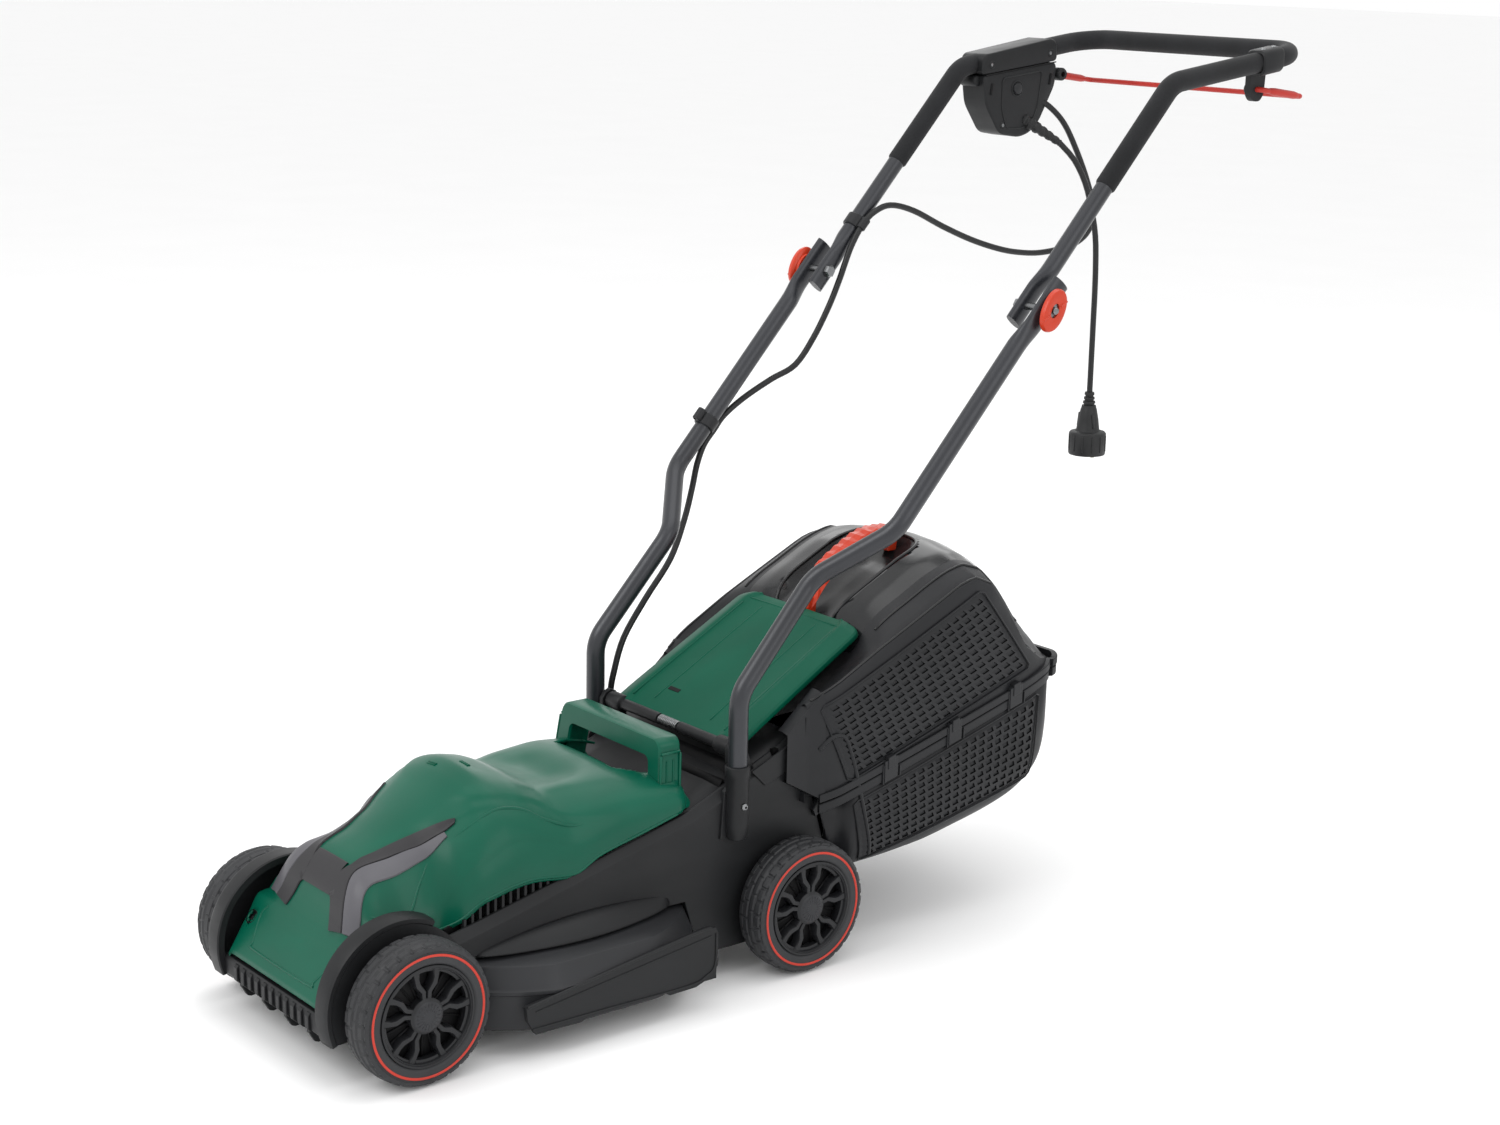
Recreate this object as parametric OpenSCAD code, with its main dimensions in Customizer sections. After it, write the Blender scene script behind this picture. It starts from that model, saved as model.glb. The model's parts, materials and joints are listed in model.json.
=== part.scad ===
// Corded electric rotary lawn mower with a rear grass box and a folding handle.
// Millimetres. X is across (+X is the operator's left hand side seen from the front),
// +Y points back towards the operator, +Z is up.
// The origin is on the ground, midway between the axles.

/* [Running gear] */
// Distance between the front and the rear axle
wheelbase = 458; // [450:1:500]
// Width over the outer faces of the tyres
track = 330; // [326:1:360]
// Outside diameter of a tyre
wheel_d = 140; // [132:1:146]
// Width of a tyre
tyre_w = 40; // [30:1:42]
// Diameter of the axle rods
axle_d = 10; // [8:0.5:12]
// Height setting travel, up or down from the middle setting
height_step = 20; // [10:1:22]

/* [Deck] */
// Width over the side walls of the deck
deck_w = 236; // [228:1:240]
// Gap between the blade's tip and the inside of the housing
tip_gap = 9; // [6:0.5:12]
// How far the blade housing's rounded ends reach past its half width
end_round = 10; // [6:1:12]
// Height of the deck's lower rim above the ground
rim_z = 26; // [20:1:32]
// Height of the blade housing's top plate
plate_z = 95; // [92:1:100]
// Wall of the moulded shells
wall = 3; // [2:0.5:4]

/* [Blade and motor] */
// Length of the blade from tip to tip
blade_l = 320; // [280:5:326]
// Width of the blade
blade_w = 48; // [36:1:60]
// Diameter of the motor housing
motor_d = 112; // [90:1:120]
// Height of the motor housing
motor_h = 96; // [70:1:104]
// Diameter of the motor shaft
shaft_d = 12; // [10:0.5:16]

/* [Handle] */
// Outside diameter of the lower tubes
lower_tube_d = 20; // [18:0.5:22]
// Outside diameter of the upper handle tube
upper_tube_d = 19; // [17:0.5:20]
// Wall of the steel tubes
tube_wall = 1.2; // [0.8:0.1:2]
// Distance of the lower tubes' upper ends from the middle
lower_tube_x = 183.5; // [178:0.5:195]
// Wall of the soft grip sleeve
sleeve_wall = 1.6; // [1:0.1:3]
// Diameter of the handle bolts
bolt_d = 8; // [6:1:10]
// Length of the upper handle's straight legs, from the fold joint to the bend
straight_l = 300; // [280:5:330]
// Distance from the fold joint to the start of the grip sleeve
sleeve_at = 160; // [120:5:200]
// Height of the handle's cross bar
bar_z = 923; // [900:1:950]

/* [Grass box and flap] */
// Width of the grass box at its rim
box_w = 280; // [262:1:300]
// Rearmost point of the grass box
box_end = 612; // [560:1:640]
// Height of the grass box's crown
box_top = 402; // [390:1:430]
// Width of the flap
flap_w = 210; // [190:1:214]
// Diameter of the flap's hinge pin
pin_d = 6; // [5:0.5:8]

/* [Cables] */
// Outside diameter of the cables
cord_d = 7; // [6:0.5:8]

/* [Hidden] */
$fn = 48;

// fits
run_gap = 0.05;      // radial gap of a running fit
body_gap = 0.4;      // gap between faces that move past each other
seat_gap = 0.1;      // gap round a piece that is pushed on and stays

// blade housing
housing_w = blade_l + 2 * (tip_gap + wall);
housing_r = housing_w / 2 + end_round;

// wheels
wheel_r = wheel_d / 2;
axle_r = axle_d / 2;
axle_y = wheelbase / 2;
rim_r = 0.71 * wheel_r;
wheel_x = track / 2 - tyre_w;     // inner face of a tyre

// blade and motor
rotor_y = -30;
shaft_r = shaft_d / 2;
blade_z = rim_z + 14;
motor_z = plate_z;

// hinge of the flap
flap_y = 168;
flap_z = 238;
flap_end = [342, 335];
pin_r = pin_d / 2;

// handle
pivot = [499, 671];               // fold joint, in Y and Z
lean = [0.671, 0.741];            // direction of the tubes, in Y and Z
lower_r = lower_tube_d / 2;
upper_r = upper_tube_d / 2;
sleeve_r = upper_r + seat_gap + sleeve_wall;
bolt_r = bolt_d / 2;
upper_x = lower_tube_x - lower_r - upper_r - body_gap;
socket_x = deck_w / 2 - 4 + lower_r;
socket_y = 160;
bar_y = 908;
tube_sides = 20;
bail_y = 845;
bail_z = 883;
bail_r = 3;
bail_arm = 69;

green = "#0b6350";
black = "#2e2f31";
steel = "#9a9da0";
red = "#dc3c24";

// ---------- general helpers ----------

function unit(v) = v / norm(v);
function lerp(a, b, t) = a + (b - a) * t;

// Catmull-Rom curve through hand-placed points, n steps per stretch
function curve_at(p, q, r, s, t) =
    0.5 * ((2 * q) + (r - p) * t + (2 * p - 5 * q + 4 * r - s) * t * t
    + (3 * q - p - 3 * r + s) * t * t * t);
function curve(pts, n) = [
    for (i = [0:len(pts) - 2]) for (k = [0:n - 1])
        curve_at(pts[max(i - 1, 0)], pts[i], pts[i + 1], pts[min(i + 2, len(pts) - 1)], k / n),
    pts[len(pts) - 1]
];

// corner of a tube route replaced by an arc of radius r and n steps
function bend(a, b, c, r, n) =
    let (
        u = unit(a - b),
        w = unit(c - b),
        half = acos(u * w) / 2,
        away = r / tan(half),
        start = b + u * away,
        stop = b + w * away,
        middle = b + unit(u + w) * (r / sin(half))
    )
    [for (k = [0:n]) let (v = lerp(start, stop, k / n)) middle + unit(v - middle) * r];
function route(pts, r, n = 6) = [
    pts[0],
    for (i = [1:len(pts) - 2]) each bend(pts[i - 1], pts[i], pts[i + 1], r, n),
    pts[len(pts) - 1]
];

// directions along a route and a normal that never twists
function heading(pts, i) = unit(pts[min(i + 1, len(pts) - 1)] - pts[max(i - 1, 0)]);
function normals(pts, i = 0, last = [0, 0, 0]) =
    i == len(pts) ? [] :
    let (
        t = heading(pts, i),
        seed = i == 0 ? (abs(t.x) < 0.9 ? [1, 0, 0] : [0, 1, 0]) : last,
        v = unit(seed - (seed * t) * t)
    )
    concat([v], normals(pts, i + 1, v));
function ring(c, t, v, r, sides) = [
    for (j = [0:sides - 1]) c + r * (cos(360 * j / sides) * v + sin(360 * j / sides) * cross(t, v))
];
function rings(pts, r, sides) =
    let (v = normals(pts))
    [for (i = [0:len(pts) - 1]) each ring(pts[i], heading(pts, i), v[i], r, sides)];

// a round rod along a route
module rod(pts, r, sides = 16) {
    m = len(pts);
    polyhedron(
        points = rings(pts, r, sides),
        faces = [
            [for (j = [0:sides - 1]) j],
            [for (j = [0:sides - 1]) m * sides - 1 - j],
            for (i = [0:m - 2]) for (j = [0:sides - 1]) let (k = (j + 1) % sides)
                [i * sides + j, (i + 1) * sides + j, (i + 1) * sides + k, i * sides + k]
        ]
    );
}

// a tube along a route
module pipe(pts, r, bore, sides = tube_sides) {
    m = len(pts);
    n = m * sides;
    polyhedron(
        points = concat(rings(pts, r, sides), rings(pts, bore, sides)),
        faces = [
            for (j = [0:sides - 1]) let (k = (j + 1) % sides) each [
                [j, k, n + k, n + j],
                [n - sides + j, 2 * n - sides + j, 2 * n - sides + k, n - sides + k]
            ],
            for (i = [0:m - 2]) for (j = [0:sides - 1])
                let (k = (j + 1) % sides, a = i * sides, b = a + sides) each [
                    [a + j, b + j, b + k, a + k],
                    [n + a + j, n + a + k, n + b + k, n + b + j]
                ]
        ]
    );
}

// a closed sheet between an upper and a lower grid of points of the same size
module sheet(top, low) {
    m = len(top);
    n = len(top[0]);
    t = m * n;
    polyhedron(
        points = concat([for (row = top) each row], [for (row = low) each row]),
        faces = [
            for (i = [0:m - 2]) for (j = [0:n - 2]) let (a = i * n + j, b = a + n) each [
                [a, b, b + 1], [a, b + 1, a + 1],
                [t + a, t + b + 1, t + b], [t + a, t + a + 1, t + b + 1]
            ],
            for (i = [0:m - 2]) let (a = i * n, b = a + n, c = a + n - 1, d = b + n - 1) each [
                [a, t + a, t + b], [a, t + b, b],
                [c, d, t + d], [c, t + d, t + c]
            ],
            for (j = [0:n - 2]) let (e = (m - 1) * n + j) each [
                [j, j + 1, t + j + 1], [j, t + j + 1, t + j],
                [e, t + e, t + e + 1], [e, t + e + 1, e + 1]
            ]
        ]
    );
}

// an outline drawn in Y and Z, extruded across from x0 to x1
module across(x0, x1) {
    translate([x0, 0, 0]) rotate([90, 0, 90]) linear_extrude(x1 - x0) children();
}

// a cylinder along X
module pin_x(r, x0, x1, y, z) {
    translate([x0, y, z]) rotate([0, 90, 0]) cylinder(r = r, h = x1 - x0);
}

module both_sides() {
    children();
    mirror([1, 0, 0]) children();
}

// ---------- deck ----------

// height of the ridge that runs along each side of the deck
ridge = [[-185, 114], [-177, 117], [110, 184], [165, 207], [214, 228], [243, 242]];
mouth_top = [243, 242];
mouth_foot = [287, 100];

module side_outline() {
    polygon([
        [-150, plate_z - wall], [-190, plate_z - wall], for (p = ridge) p,
        mouth_foot, [284, 84], [264, 58], [190, 30], [120, 30], [100, plate_z - wall]
    ]);
}

module housing_plan(inset) {
    offset(delta = -inset) intersection() {
        translate([0, rotor_y]) circle(housing_r, $fn = 96);
        translate([-housing_w / 2, rotor_y - housing_r]) square([housing_w, 2 * housing_r]);
    }
}

module nose_outline() {
    polygon([
        [-298, 40], [-298, 58], [-264, 108], [-250, 112], [-170, 104], [-170, plate_z - wall],
        [-205, plate_z - wall], [-215, 40]
    ]);
}

// room for a wheel at every height setting
module wheel_room(y) {
    clear = wheel_r + 4;
    both_sides() across(wheel_x - 4, track / 2 + 20) hull() {
        translate([y, wheel_r - height_step]) circle(clear, $fn = 64);
        translate([y, wheel_r + height_step]) circle(clear, $fn = 64);
    }
}

// slots in which an axle is set up or down
module axle_slot(y) {
    across(-deck_w, deck_w) hull() {
        translate([y, wheel_r - height_step]) circle(axle_r + 0.3);
        translate([y, wheel_r + height_step]) circle(axle_r + 0.3);
    }
}

module deck_shell() color(black) {
    half = deck_w / 2;
    difference() {
        union() {
            // blade housing with its stepped ledge
            translate([0, 0, rim_z]) linear_extrude(plate_z - 9 - rim_z) housing_plan(0);
            translate([0, 0, rim_z]) linear_extrude(plate_z - rim_z) housing_plan(9);
            // side plates of the skirt
            both_sides() across(housing_w / 2 - wall, housing_w / 2 + 4)
                polygon([[-118, rim_z], [-129, 56], [92, 86], [98, 80], [98, rim_z + 12], [70, rim_z]]);
            // side walls, rear tunnel and nose
            across(-half, half) side_outline();
            across(-half + 16, half - 16) nose_outline();
            // bands that follow the front tyres
            both_sides() across(half - 22, half - 1) difference() {
                translate([-axle_y, wheel_r]) circle(wheel_r + 6, $fn = 96);
                translate([-axle_y - 100, -60]) square([200, 100]);
            }
            // tube sockets
            both_sides() translate([socket_x, socket_y, 148]) cylinder(r = lower_r + 3, h = 78);
            both_sides() across(half - wall, half + 3)
                polygon([[144, 148], [144, 198], [176, 210], [176, 148]]);
            // cable inlet behind the right-hand socket
            translate([-socket_x, socket_y + 20, 196]) cylinder(r = 7, h = 30);
            translate([-socket_x, socket_y + 10, 196]) cylinder(r = 6, h = 30);
            // lugs that carry the flap's hinge pin
            both_sides() across(flap_w / 2 + 1.5, flap_w / 2 + 7) hull() {
                translate([flap_y, flap_z]) circle(pin_r + 5);
                translate([flap_y + 6, 205]) square([24, 4], center = true);
            }
        }
        // blade chamber
        translate([0, 0, rim_z - 1]) linear_extrude(plate_z - 9 - wall - rim_z + 1) housing_plan(wall);
        translate([0, 0, rim_z - 1]) linear_extrude(plate_z - wall - rim_z + 1) housing_plan(9 + wall);
        // motor bay, open at the top
        across(-half + wall, half - wall)
            polygon([[-182, plate_z], [-182, 240], [112, 240], [112, plate_z]]);
        // nose, open below and behind
        across(-half + 16 + wall, half - 16 - wall) polygon([
            [-295, 30], [-295, 57], [-262, 105], [-249, 109], [-183, 102], [-183, plate_z],
            [-207, plate_z], [-217, 38], [-217, 30]
        ]);
        both_sides() across(half - 22 + wall, half + 1)
            translate([-axle_y, wheel_r]) circle(wheel_r + 3, $fn = 96);
        // discharge tunnel from the blade chamber to the rear mouth
        across(-half + 2 * wall, half - 2 * wall) polygon([
            [118, rim_z - 10], [118, 181], [168, 201], [214, 222], [260, 243], [300, 100],
            [206, 100], [146, rim_z - 10]
        ]);
        across(-half + wall, half - wall) polygon([
            [150, rim_z - 10], [209, 97], [284, 97], [290, 84], [264, 20]
        ]);
        // shaft hole and motor bolts
        translate([0, rotor_y, plate_z - 20]) cylinder(r = shaft_r + 6, h = 40);
        // wheels and axles
        wheel_room(-axle_y);
        wheel_room(axle_y);
        axle_slot(-axle_y);
        axle_slot(axle_y);
        // seats of the handle tubes, the cable and the hinge pin
        both_sides() translate([socket_x, socket_y, 152]) cylinder(r = lower_r + 0.1, h = 80);
        translate([-socket_x, socket_y + 20, 222]) cylinder(r = cord_d / 2 + 0.1, h = 10);
        pin_x(pin_r, -half - 4, half + 4, flap_y, flap_z);
        both_sides() pin_x(2.1, socket_x, socket_x + 20, socket_y, 186);
    }
    // comb teeth under the nose, rooted in its front wall
    for (x = [-66, -22, 22, 66]) across(x - 2, x + 2)
        polygon([[-297.5, 44], [-297.5, 40], [-292, 28], [-278, 28], [-264, 40], [-264, 44]]);
}

// ---------- motor cover ----------

cover_crown = [
    [-300, 67], [-281, 97], [-262, 128], [-256, 140], [-246, 162], [-236, 180], [-220, 196],
    [-200, 213], [-180, 228], [-150, 243], [-110, 252], [-75, 244], [-30, 225], [0, 229],
    [40, 228], [80, 222], [118, 214]
];
cover_edge = [
    [-300, 62], [-281, 90], [-262, 119], [-240, 120], [-200, 119], [-175, 119], [-130, 145],
    [-80, 153], [-31, 148], [0, 161], [50, 173], [118, 190]
];
// half of the cover's width, taken from the deck's
cover_half = [for (p = [[-300, 28], [-262, 24], [-175, 23], [-150, 10], [-120, 6], [118, 6]])
    [p[0], deck_w / 2 - p[1]]];
cover_rows = [for (p = cover_crown) p[0]];
cover_cols = [-1, -0.985, -0.94, -0.85, -0.7, -0.5, -0.25, 0, 0.25, 0.5, 0.7, 0.85, 0.94, 0.985, 1];

// roundness of the cover's section: square at the front panel, softer behind
function cover_power(y) = y < -258 ? 8 : lookup(y, [[-258, 6], [-230, 3], [-110, 2.4], [118, 3]]);
function cover_height(x, y, sink = 0) =
    let (
        w = lookup(y, cover_half) - sink,
        low = lookup(y, cover_edge),
        f = min(abs(x) / w, 1),
        n = cover_power(y)
    )
    low + (lookup(y, cover_crown) - sink - low) * pow(1 - pow(f, n), 1 / n);
function cover_grid(sink) = [
    for (y = cover_rows) [
        for (c = cover_cols) let (x = c * (lookup(y, cover_half) - sink)) [x, y, cover_height(x, y, sink)]
    ]
];

// patch on the cover between two lines x0(y) and x1(y)
function patch_grid(rows, inner, outer, lift) = [
    for (y = rows) [
        for (k = [0:3]) let (x = lerp(lookup(y, inner), lookup(y, outer), k / 3))
            [x, y, cover_height(x, y) + lift]
    ]
];

carry_y = 98;                     // middle of the carrying handle
carry_z = 250;
module motor_cover() color(green) {
    difference() {
        union() {
            sheet(cover_grid(0), cover_grid(2.5));
            // carrying handle across the rear
            translate([0, carry_y, carry_z]) cube([164, 26, 14], center = true);
            both_sides() across(66, 82)
                polygon([[carry_y - 30, 214], [carry_y - 13, 257], [carry_y + 13, 257],
                    [carry_y + 19, 206], [carry_y + 19, 190]]);
        }
        // screw holes in the front panel
        both_sides() translate([84, -280, 80]) rotate([-58, 0, 0]) cylinder(r = 3, h = 60, center = true);
    }
}

trim_rows = [-259, -250, -242, -236, -220, -200, -180, -160, -140];
module cover_trim() color("#3f4043") {
    both_sides() sheet(
        patch_grid(trim_rows, [[-259, 41], [-236, 32], [-140, 58]], [[-259, 50], [-236, 44], [-140, 66]], 2),
        patch_grid(trim_rows, [[-259, 41], [-236, 32], [-140, 58]], [[-259, 50], [-236, 44], [-140, 66]], 0.2)
    );
    bar_rows = [-245, -240, -236, -228];
    sheet(
        patch_grid(bar_rows, [[-245, -31.5], [-228, -31.5]], [[-245, 31.5], [-228, 31.5]], 2),
        patch_grid(bar_rows, [[-245, -31.5], [-228, -31.5]], [[-245, 31.5], [-228, 31.5]], 0.2)
    );
}

module trim_inlays() color("#6a6b70") {
    both_sides() sheet(
        patch_grid(trim_rows, [[-259, 50.4], [-236, 44.4], [-140, 66.4]], [[-259, 56], [-236, 56], [-140, 75]], 1.6),
        patch_grid(trim_rows, [[-259, 50.4], [-236, 44.4], [-140, 66.4]], [[-259, 56], [-236, 56], [-140, 75]], 0.2)
    );
}

// ribs that fill the arch under the cover's edge on each side
module vent_grilles() color(black) {
    inside = deck_w / 2 - 16;
    both_sides() {
        across(inside, inside + 2) polygon([
            [-168, 122], [-130, 143], [-80, 150], [-36, 146], [-80, 132], [-130, 121]
        ]);
        for (y = [-158:13:-54]) across(inside + 1.5, inside + 8.5)
            translate([y, lookup(y, ridge) + 1])
                square([3.5, lookup(y, cover_edge) - lookup(y, ridge) - 5]);
    }
}

// ---------- motor and blade ----------

module motor_housing() color(steel) translate([0, rotor_y, 0]) {
    top = motor_z + motor_h;
    difference() {
        union() {
            translate([0, 0, motor_z]) cylinder(d = motor_d, h = motor_h);
            translate([0, 0, motor_z]) cylinder(d = motor_d + 24, h = 5);
        }
        translate([0, 0, motor_z + 16]) cylinder(d = motor_d - 6, h = motor_h - 24);
        translate([0, 0, motor_z - 1]) cylinder(r = shaft_r + 1, h = motor_h + 10);
        translate([0, 0, motor_z + 4]) cylinder(r = shaft_r + 6.05, h = 12.1);
        translate([0, 0, top - 8.1]) cylinder(r = shaft_r + 6.05, h = 6.1);
    }
}

module motor_bearings() color("silver") translate([0, rotor_y, 0]) {
    for (b = [[motor_z + 4, 12], [motor_z + motor_h - 8, 6]]) translate([0, 0, b[0]]) difference() {
        cylinder(r = shaft_r + 6, h = b[1]);
        translate([0, 0, -1]) cylinder(r = shaft_r + run_gap, h = b[1] + 2);
    }
}

module armature() color("#b5651d") translate([0, rotor_y, 0]) {
    translate([0, 0, blade_z + 4]) cylinder(r = shaft_r, h = motor_z + motor_h - 5 - blade_z);
    translate([0, 0, motor_z + 22]) cylinder(d = motor_d - 34, h = motor_h - 40);
}

module blade_carrier() color("#3a3b3d") translate([0, rotor_y, 0]) {
    difference() {
        union() {
            translate([0, 0, blade_z + 4]) cylinder(r = 26, h = 14);
            translate([0, 0, blade_z + 18]) cylinder(r = 60, h = 3);
            for (a = [0:45:315]) rotate([0, 0, a]) translate([16, -1.5, blade_z + 10]) cube([42, 3, 9]);
        }
        translate([0, 0, blade_z]) cylinder(r = shaft_r + 0.02, h = 40);
    }
}

module blade() color("#7c7f84") translate([0, rotor_y, blade_z]) {
    difference() {
        linear_extrude(4) polygon([
            [-blade_l / 2, -blade_w / 2], [-blade_l / 4, -blade_w / 2], [-40, -blade_w / 2 + 4],
            [40, -blade_w / 2 + 4], [blade_l / 2, -blade_w / 2 + 8], [blade_l / 2, blade_w / 2],
            [blade_l / 4, blade_w / 2], [40, blade_w / 2 - 4], [-40, blade_w / 2 - 4],
            [-blade_l / 2, blade_w / 2 - 8]
        ]);
        translate([0, 0, -1]) cylinder(r = 5.1, h = 8);
    }
}

module blade_bolt() color("silver") translate([0, rotor_y, blade_z]) {
    translate([0, 0, -7]) cylinder(d = 20, h = 7, $fn = 6);
    translate([0, 0, -7]) cylinder(r = 5, h = 11);
}

// ---------- axles and wheels ----------

module axle(y) color(steel) {
    reach = track / 2 - 9;
    pin_x(axle_r, -reach, reach, y, wheel_r);
    both_sides() translate([reach, y, wheel_r]) rotate([0, 90, 0]) cylinder(r = 8, h = 4, $fn = 6);
}

// a wheel's pieces are drawn about the Z axis with the outer face up, then laid on the axle
module on_axle(side, y) {
    translate([0, y, wheel_r]) rotate([0, 90 * side, 0]) translate([0, 0, track / 2 - tyre_w]) children();
}

module tyre(side, y) color("#3a3b3d") on_axle(side, y) rotate_extrude($fn = 96)
    polygon([
        [rim_r + 0.1, 2], [wheel_r - 7, 1], [wheel_r - 2, 4], [wheel_r, 9], [wheel_r, tyre_w - 9],
        [wheel_r - 2, tyre_w - 4], [wheel_r - 7, tyre_w], [rim_r + 0.1, tyre_w]
    ]);

module stripe(side, y) color(red) on_axle(side, y) translate([0, 0, tyre_w]) difference() {
    cylinder(r = wheel_r - 8.4, h = 0.6, $fn = 96);
    translate([0, 0, -1]) cylinder(r = wheel_r - 10.8, h = 3, $fn = 96);
}

module rim(side, y) color(black) on_axle(side, y) difference() {
    union() {
        difference() {
            translate([0, 0, 3]) cylinder(r = rim_r, h = tyre_w - 3, $fn = 96);
            translate([0, 0, 2]) cylinder(r = rim_r - 4, h = tyre_w, $fn = 96);
        }
        translate([0, 0, tyre_w - 7]) cylinder(r = rim_r - 2, h = 5);
        translate([0, 0, 3]) cylinder(r = 17, h = tyre_w - 5);
    }
    // windows between and within the five double spokes
    for (a = [0:72:288]) rotate([0, 0, a]) translate([0, 0, tyre_w - 10]) linear_extrude(12) {
        polygon([[19, -3], [30, -11], [rim_r - 7, -9], [rim_r - 7, 9], [30, 11], [19, 3]]);
    }
    for (a = [36:72:324]) rotate([0, 0, a]) translate([0, 0, tyre_w - 10]) linear_extrude(12)
        polygon([[33, -1], [rim_r - 7, -8], [rim_r - 7, 8], [33, 1]]);
    translate([0, 0, -1]) cylinder(r = axle_r + run_gap, h = tyre_w + 2);
    translate([0, 0, tyre_w - 10]) cylinder(r = 12, h = 20);
}

module cap(side, y) color("#3c3d40") on_axle(side, y) difference() {
    union() {
        translate([0, 0, tyre_w - 6]) cylinder(r = 11.95, h = 6);
        translate([0, 0, tyre_w - 2]) cylinder(r = 15, h = 3);
    }
    translate([0, 0, tyre_w - 7]) cylinder(r = 10, h = 5);
}

// ---------- flap ----------

flap_rise = atan2(flap_end[1] - flap_z, flap_end[0] - flap_y);
flap_len = norm(flap_end - [flap_y, flap_z]);
module flap() color("#0a5240") translate([0, flap_y, flap_z]) rotate([flap_rise, 0, 0]) {
    difference() {
        union() {
            translate([-flap_w / 2, 4, 0]) cube([flap_w, flap_len - 4, 4]);
            // raised creases along each side
            both_sides() translate([flap_w / 2 - 24, 12, 3]) cube([14, flap_len - 24, 4]);
            both_sides() translate([flap_w / 2 - 3, 8, -4]) cube([3, flap_len - 20, 6]);
            // hinge barrel, left open in the middle for the spring
            both_sides() rotate([0, 90, 0]) translate([0, 0, 18]) cylinder(r = pin_r + 3, h = flap_w / 2 - 18);
            both_sides() translate([18, 0, 0]) cube([flap_w / 2 - 18, 8, 4]);
        }
        rotate([0, 90, 0]) cylinder(r = pin_r + run_gap, h = 2 * flap_w, center = true);
        translate([-18, -8, -8]) cube([36, 16, 16]);
        translate([-40, 40, -1]) cube([14, 5, 10]);
    }
}

module flap_pin() color("silver") pin_x(pin_r, -flap_w / 2 - 7.5, flap_w / 2 + 7.5, flap_y, flap_z);

// torsion spring on the pin, with one leg on the deck and one under the flap
module flap_spring() color(steel) translate([0, flap_y, flap_z])
    for (x = [-15:2.6:14]) rotate([0, 90, 0]) translate([0, 0, x])
        rotate_extrude($fn = 32) translate([pin_r + 1.6, 0]) circle(1.1, $fn = 16);

// ---------- grass box ----------

// the split line between the two halves rises towards the back
function split_z(y) = lookup(y, [[245, 163], [box_end, 262]]);
box_rows = [for (k = [0:12]) lerp(250, box_end, k / 12)];
box_cols = [-1, -0.99, -0.96, -0.9, -0.8, -0.62, -0.4, -0.2, 0, 0.2, 0.4, 0.62, 0.8, 0.9, 0.96, 0.99, 1];
function box_half(y, up) = up
    ? box_w / 2 * lookup(y, [[245, 0.84], [290, 0.96], [400, 1], [540, 0.99], [590, 0.93], [box_end, 0.8]])
    : box_w / 2 * lookup(y, [[245, 0.84], [312, 0.84], [336, 0.97], [400, 1], [540, 0.99], [590, 0.93],
        [box_end, 0.8]]);
function box_crown(y) = lookup(y, [[245, 236], [290, 262], [342, 322], [350, 344], [400, 378],
    [440, box_top - 6], [480, box_top], [520, box_top - 14], [560, box_top - 50],
    [590, box_top - 92], [box_end, box_top - 132]]);
function box_floor(y) = lookup(y, [[245, 118], [290, 96], [330, 84], [406, 88], [466, 97], [521, 110],
    [570, 136], [590, 160], [box_end, 250]]);
// finger recess under the grip
function recess(x, y) =
    let (u = x / 44, v = (y - 402) / 66, s = u * u + v * v) s < 1 ? 26 * pow(1 - s, 1.2) : 0;
// share of the lid's rise over the split line, from the middle to the side: a domed top and a steep side
box_section = [[0, 1], [0.2, 0.99], [0.4, 0.965], [0.62, 0.92], [0.8, 0.85], [0.9, 0.76], [0.96, 0.5], [0.99, 0.2], [1, 0]];
function box_point(c, y, inset, up) =
    let (
        x = c * (box_half(y, up) - inset),
        s = split_z(y),
        h = up ? box_crown(y) - inset - s : s - box_floor(y) - inset,
        r = max(h, 1) * (up ? lookup(abs(c), box_section) : pow(1 - pow(abs(c), 4), 0.25)),
        z = up ? s + r - recess(x, y) : s - r
    )
    [x, lerp(mouth_y(z) + 1.5, box_end, (y - box_rows[0]) / (box_end - box_rows[0])), z];
// the box's front face stands along the slanted rear edge of the deck
function mouth_y(z) = mouth_top[0] + max(mouth_top[1] - z, 0) * (mouth_foot[0] - mouth_top[0])
    / (mouth_top[1] - mouth_foot[1]);
function box_grid(inset, up) = [for (y = box_rows) [for (c = box_cols) box_point(c, y, inset, up)]];

module catcher_upper() color(black) sheet(box_grid(0, true), box_grid(2.5, true));
module catcher_lower() color(black) translate([0, 0, -0.2]) sheet(box_grid(2.5, false), box_grid(0, false));

module catcher_grip() color(red) {
    sheet(
        [for (y = [346:12:466]) [for (x = [-15, -8, 0, 8, 15]) [x, y, box_crown(y) + grip_rise(y) - x * x / 60]]],
        [for (y = [346:12:466]) [for (x = [-15, -8, 0, 8, 15]) [x, y, box_crown(y) + grip_rise(y) - 9]]]
    );
}
function grip_rise(y) = 9 + 10 * sin(180 * (y - 346) / 120);

module catcher_clips() color("#333436") both_sides()
    for (y = [350, 440, 530]) across(box_half(y, true) + 0.3, box_half(y, true) + 4)
        translate([y, split_z(y)]) square([20, 18], center = true);

// ---------- lower tubes ----------

lower_route = route([
    [socket_x, socket_y, 153],
    [socket_x, socket_y, 300],
    [socket_x - 3, 256, 407],
    [lower_tube_x, 309, 461],
    [lower_tube_x, pivot[0] + lean[0] * 36, pivot[1] + lean[1] * 36]
], 40, 5);

module lower_tube(side) color("#3c3e43") mirror([side > 0 ? 0 : 1, 0, 0]) difference() {
    pipe(lower_route, lower_r, lower_r - tube_wall);
    pin_x(bolt_r + 0.2, lower_tube_x - 30, lower_tube_x + 30, pivot[0], pivot[1]);
    pin_x(2.1, socket_x, socket_x + 30, socket_y, 186);
}

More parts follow.
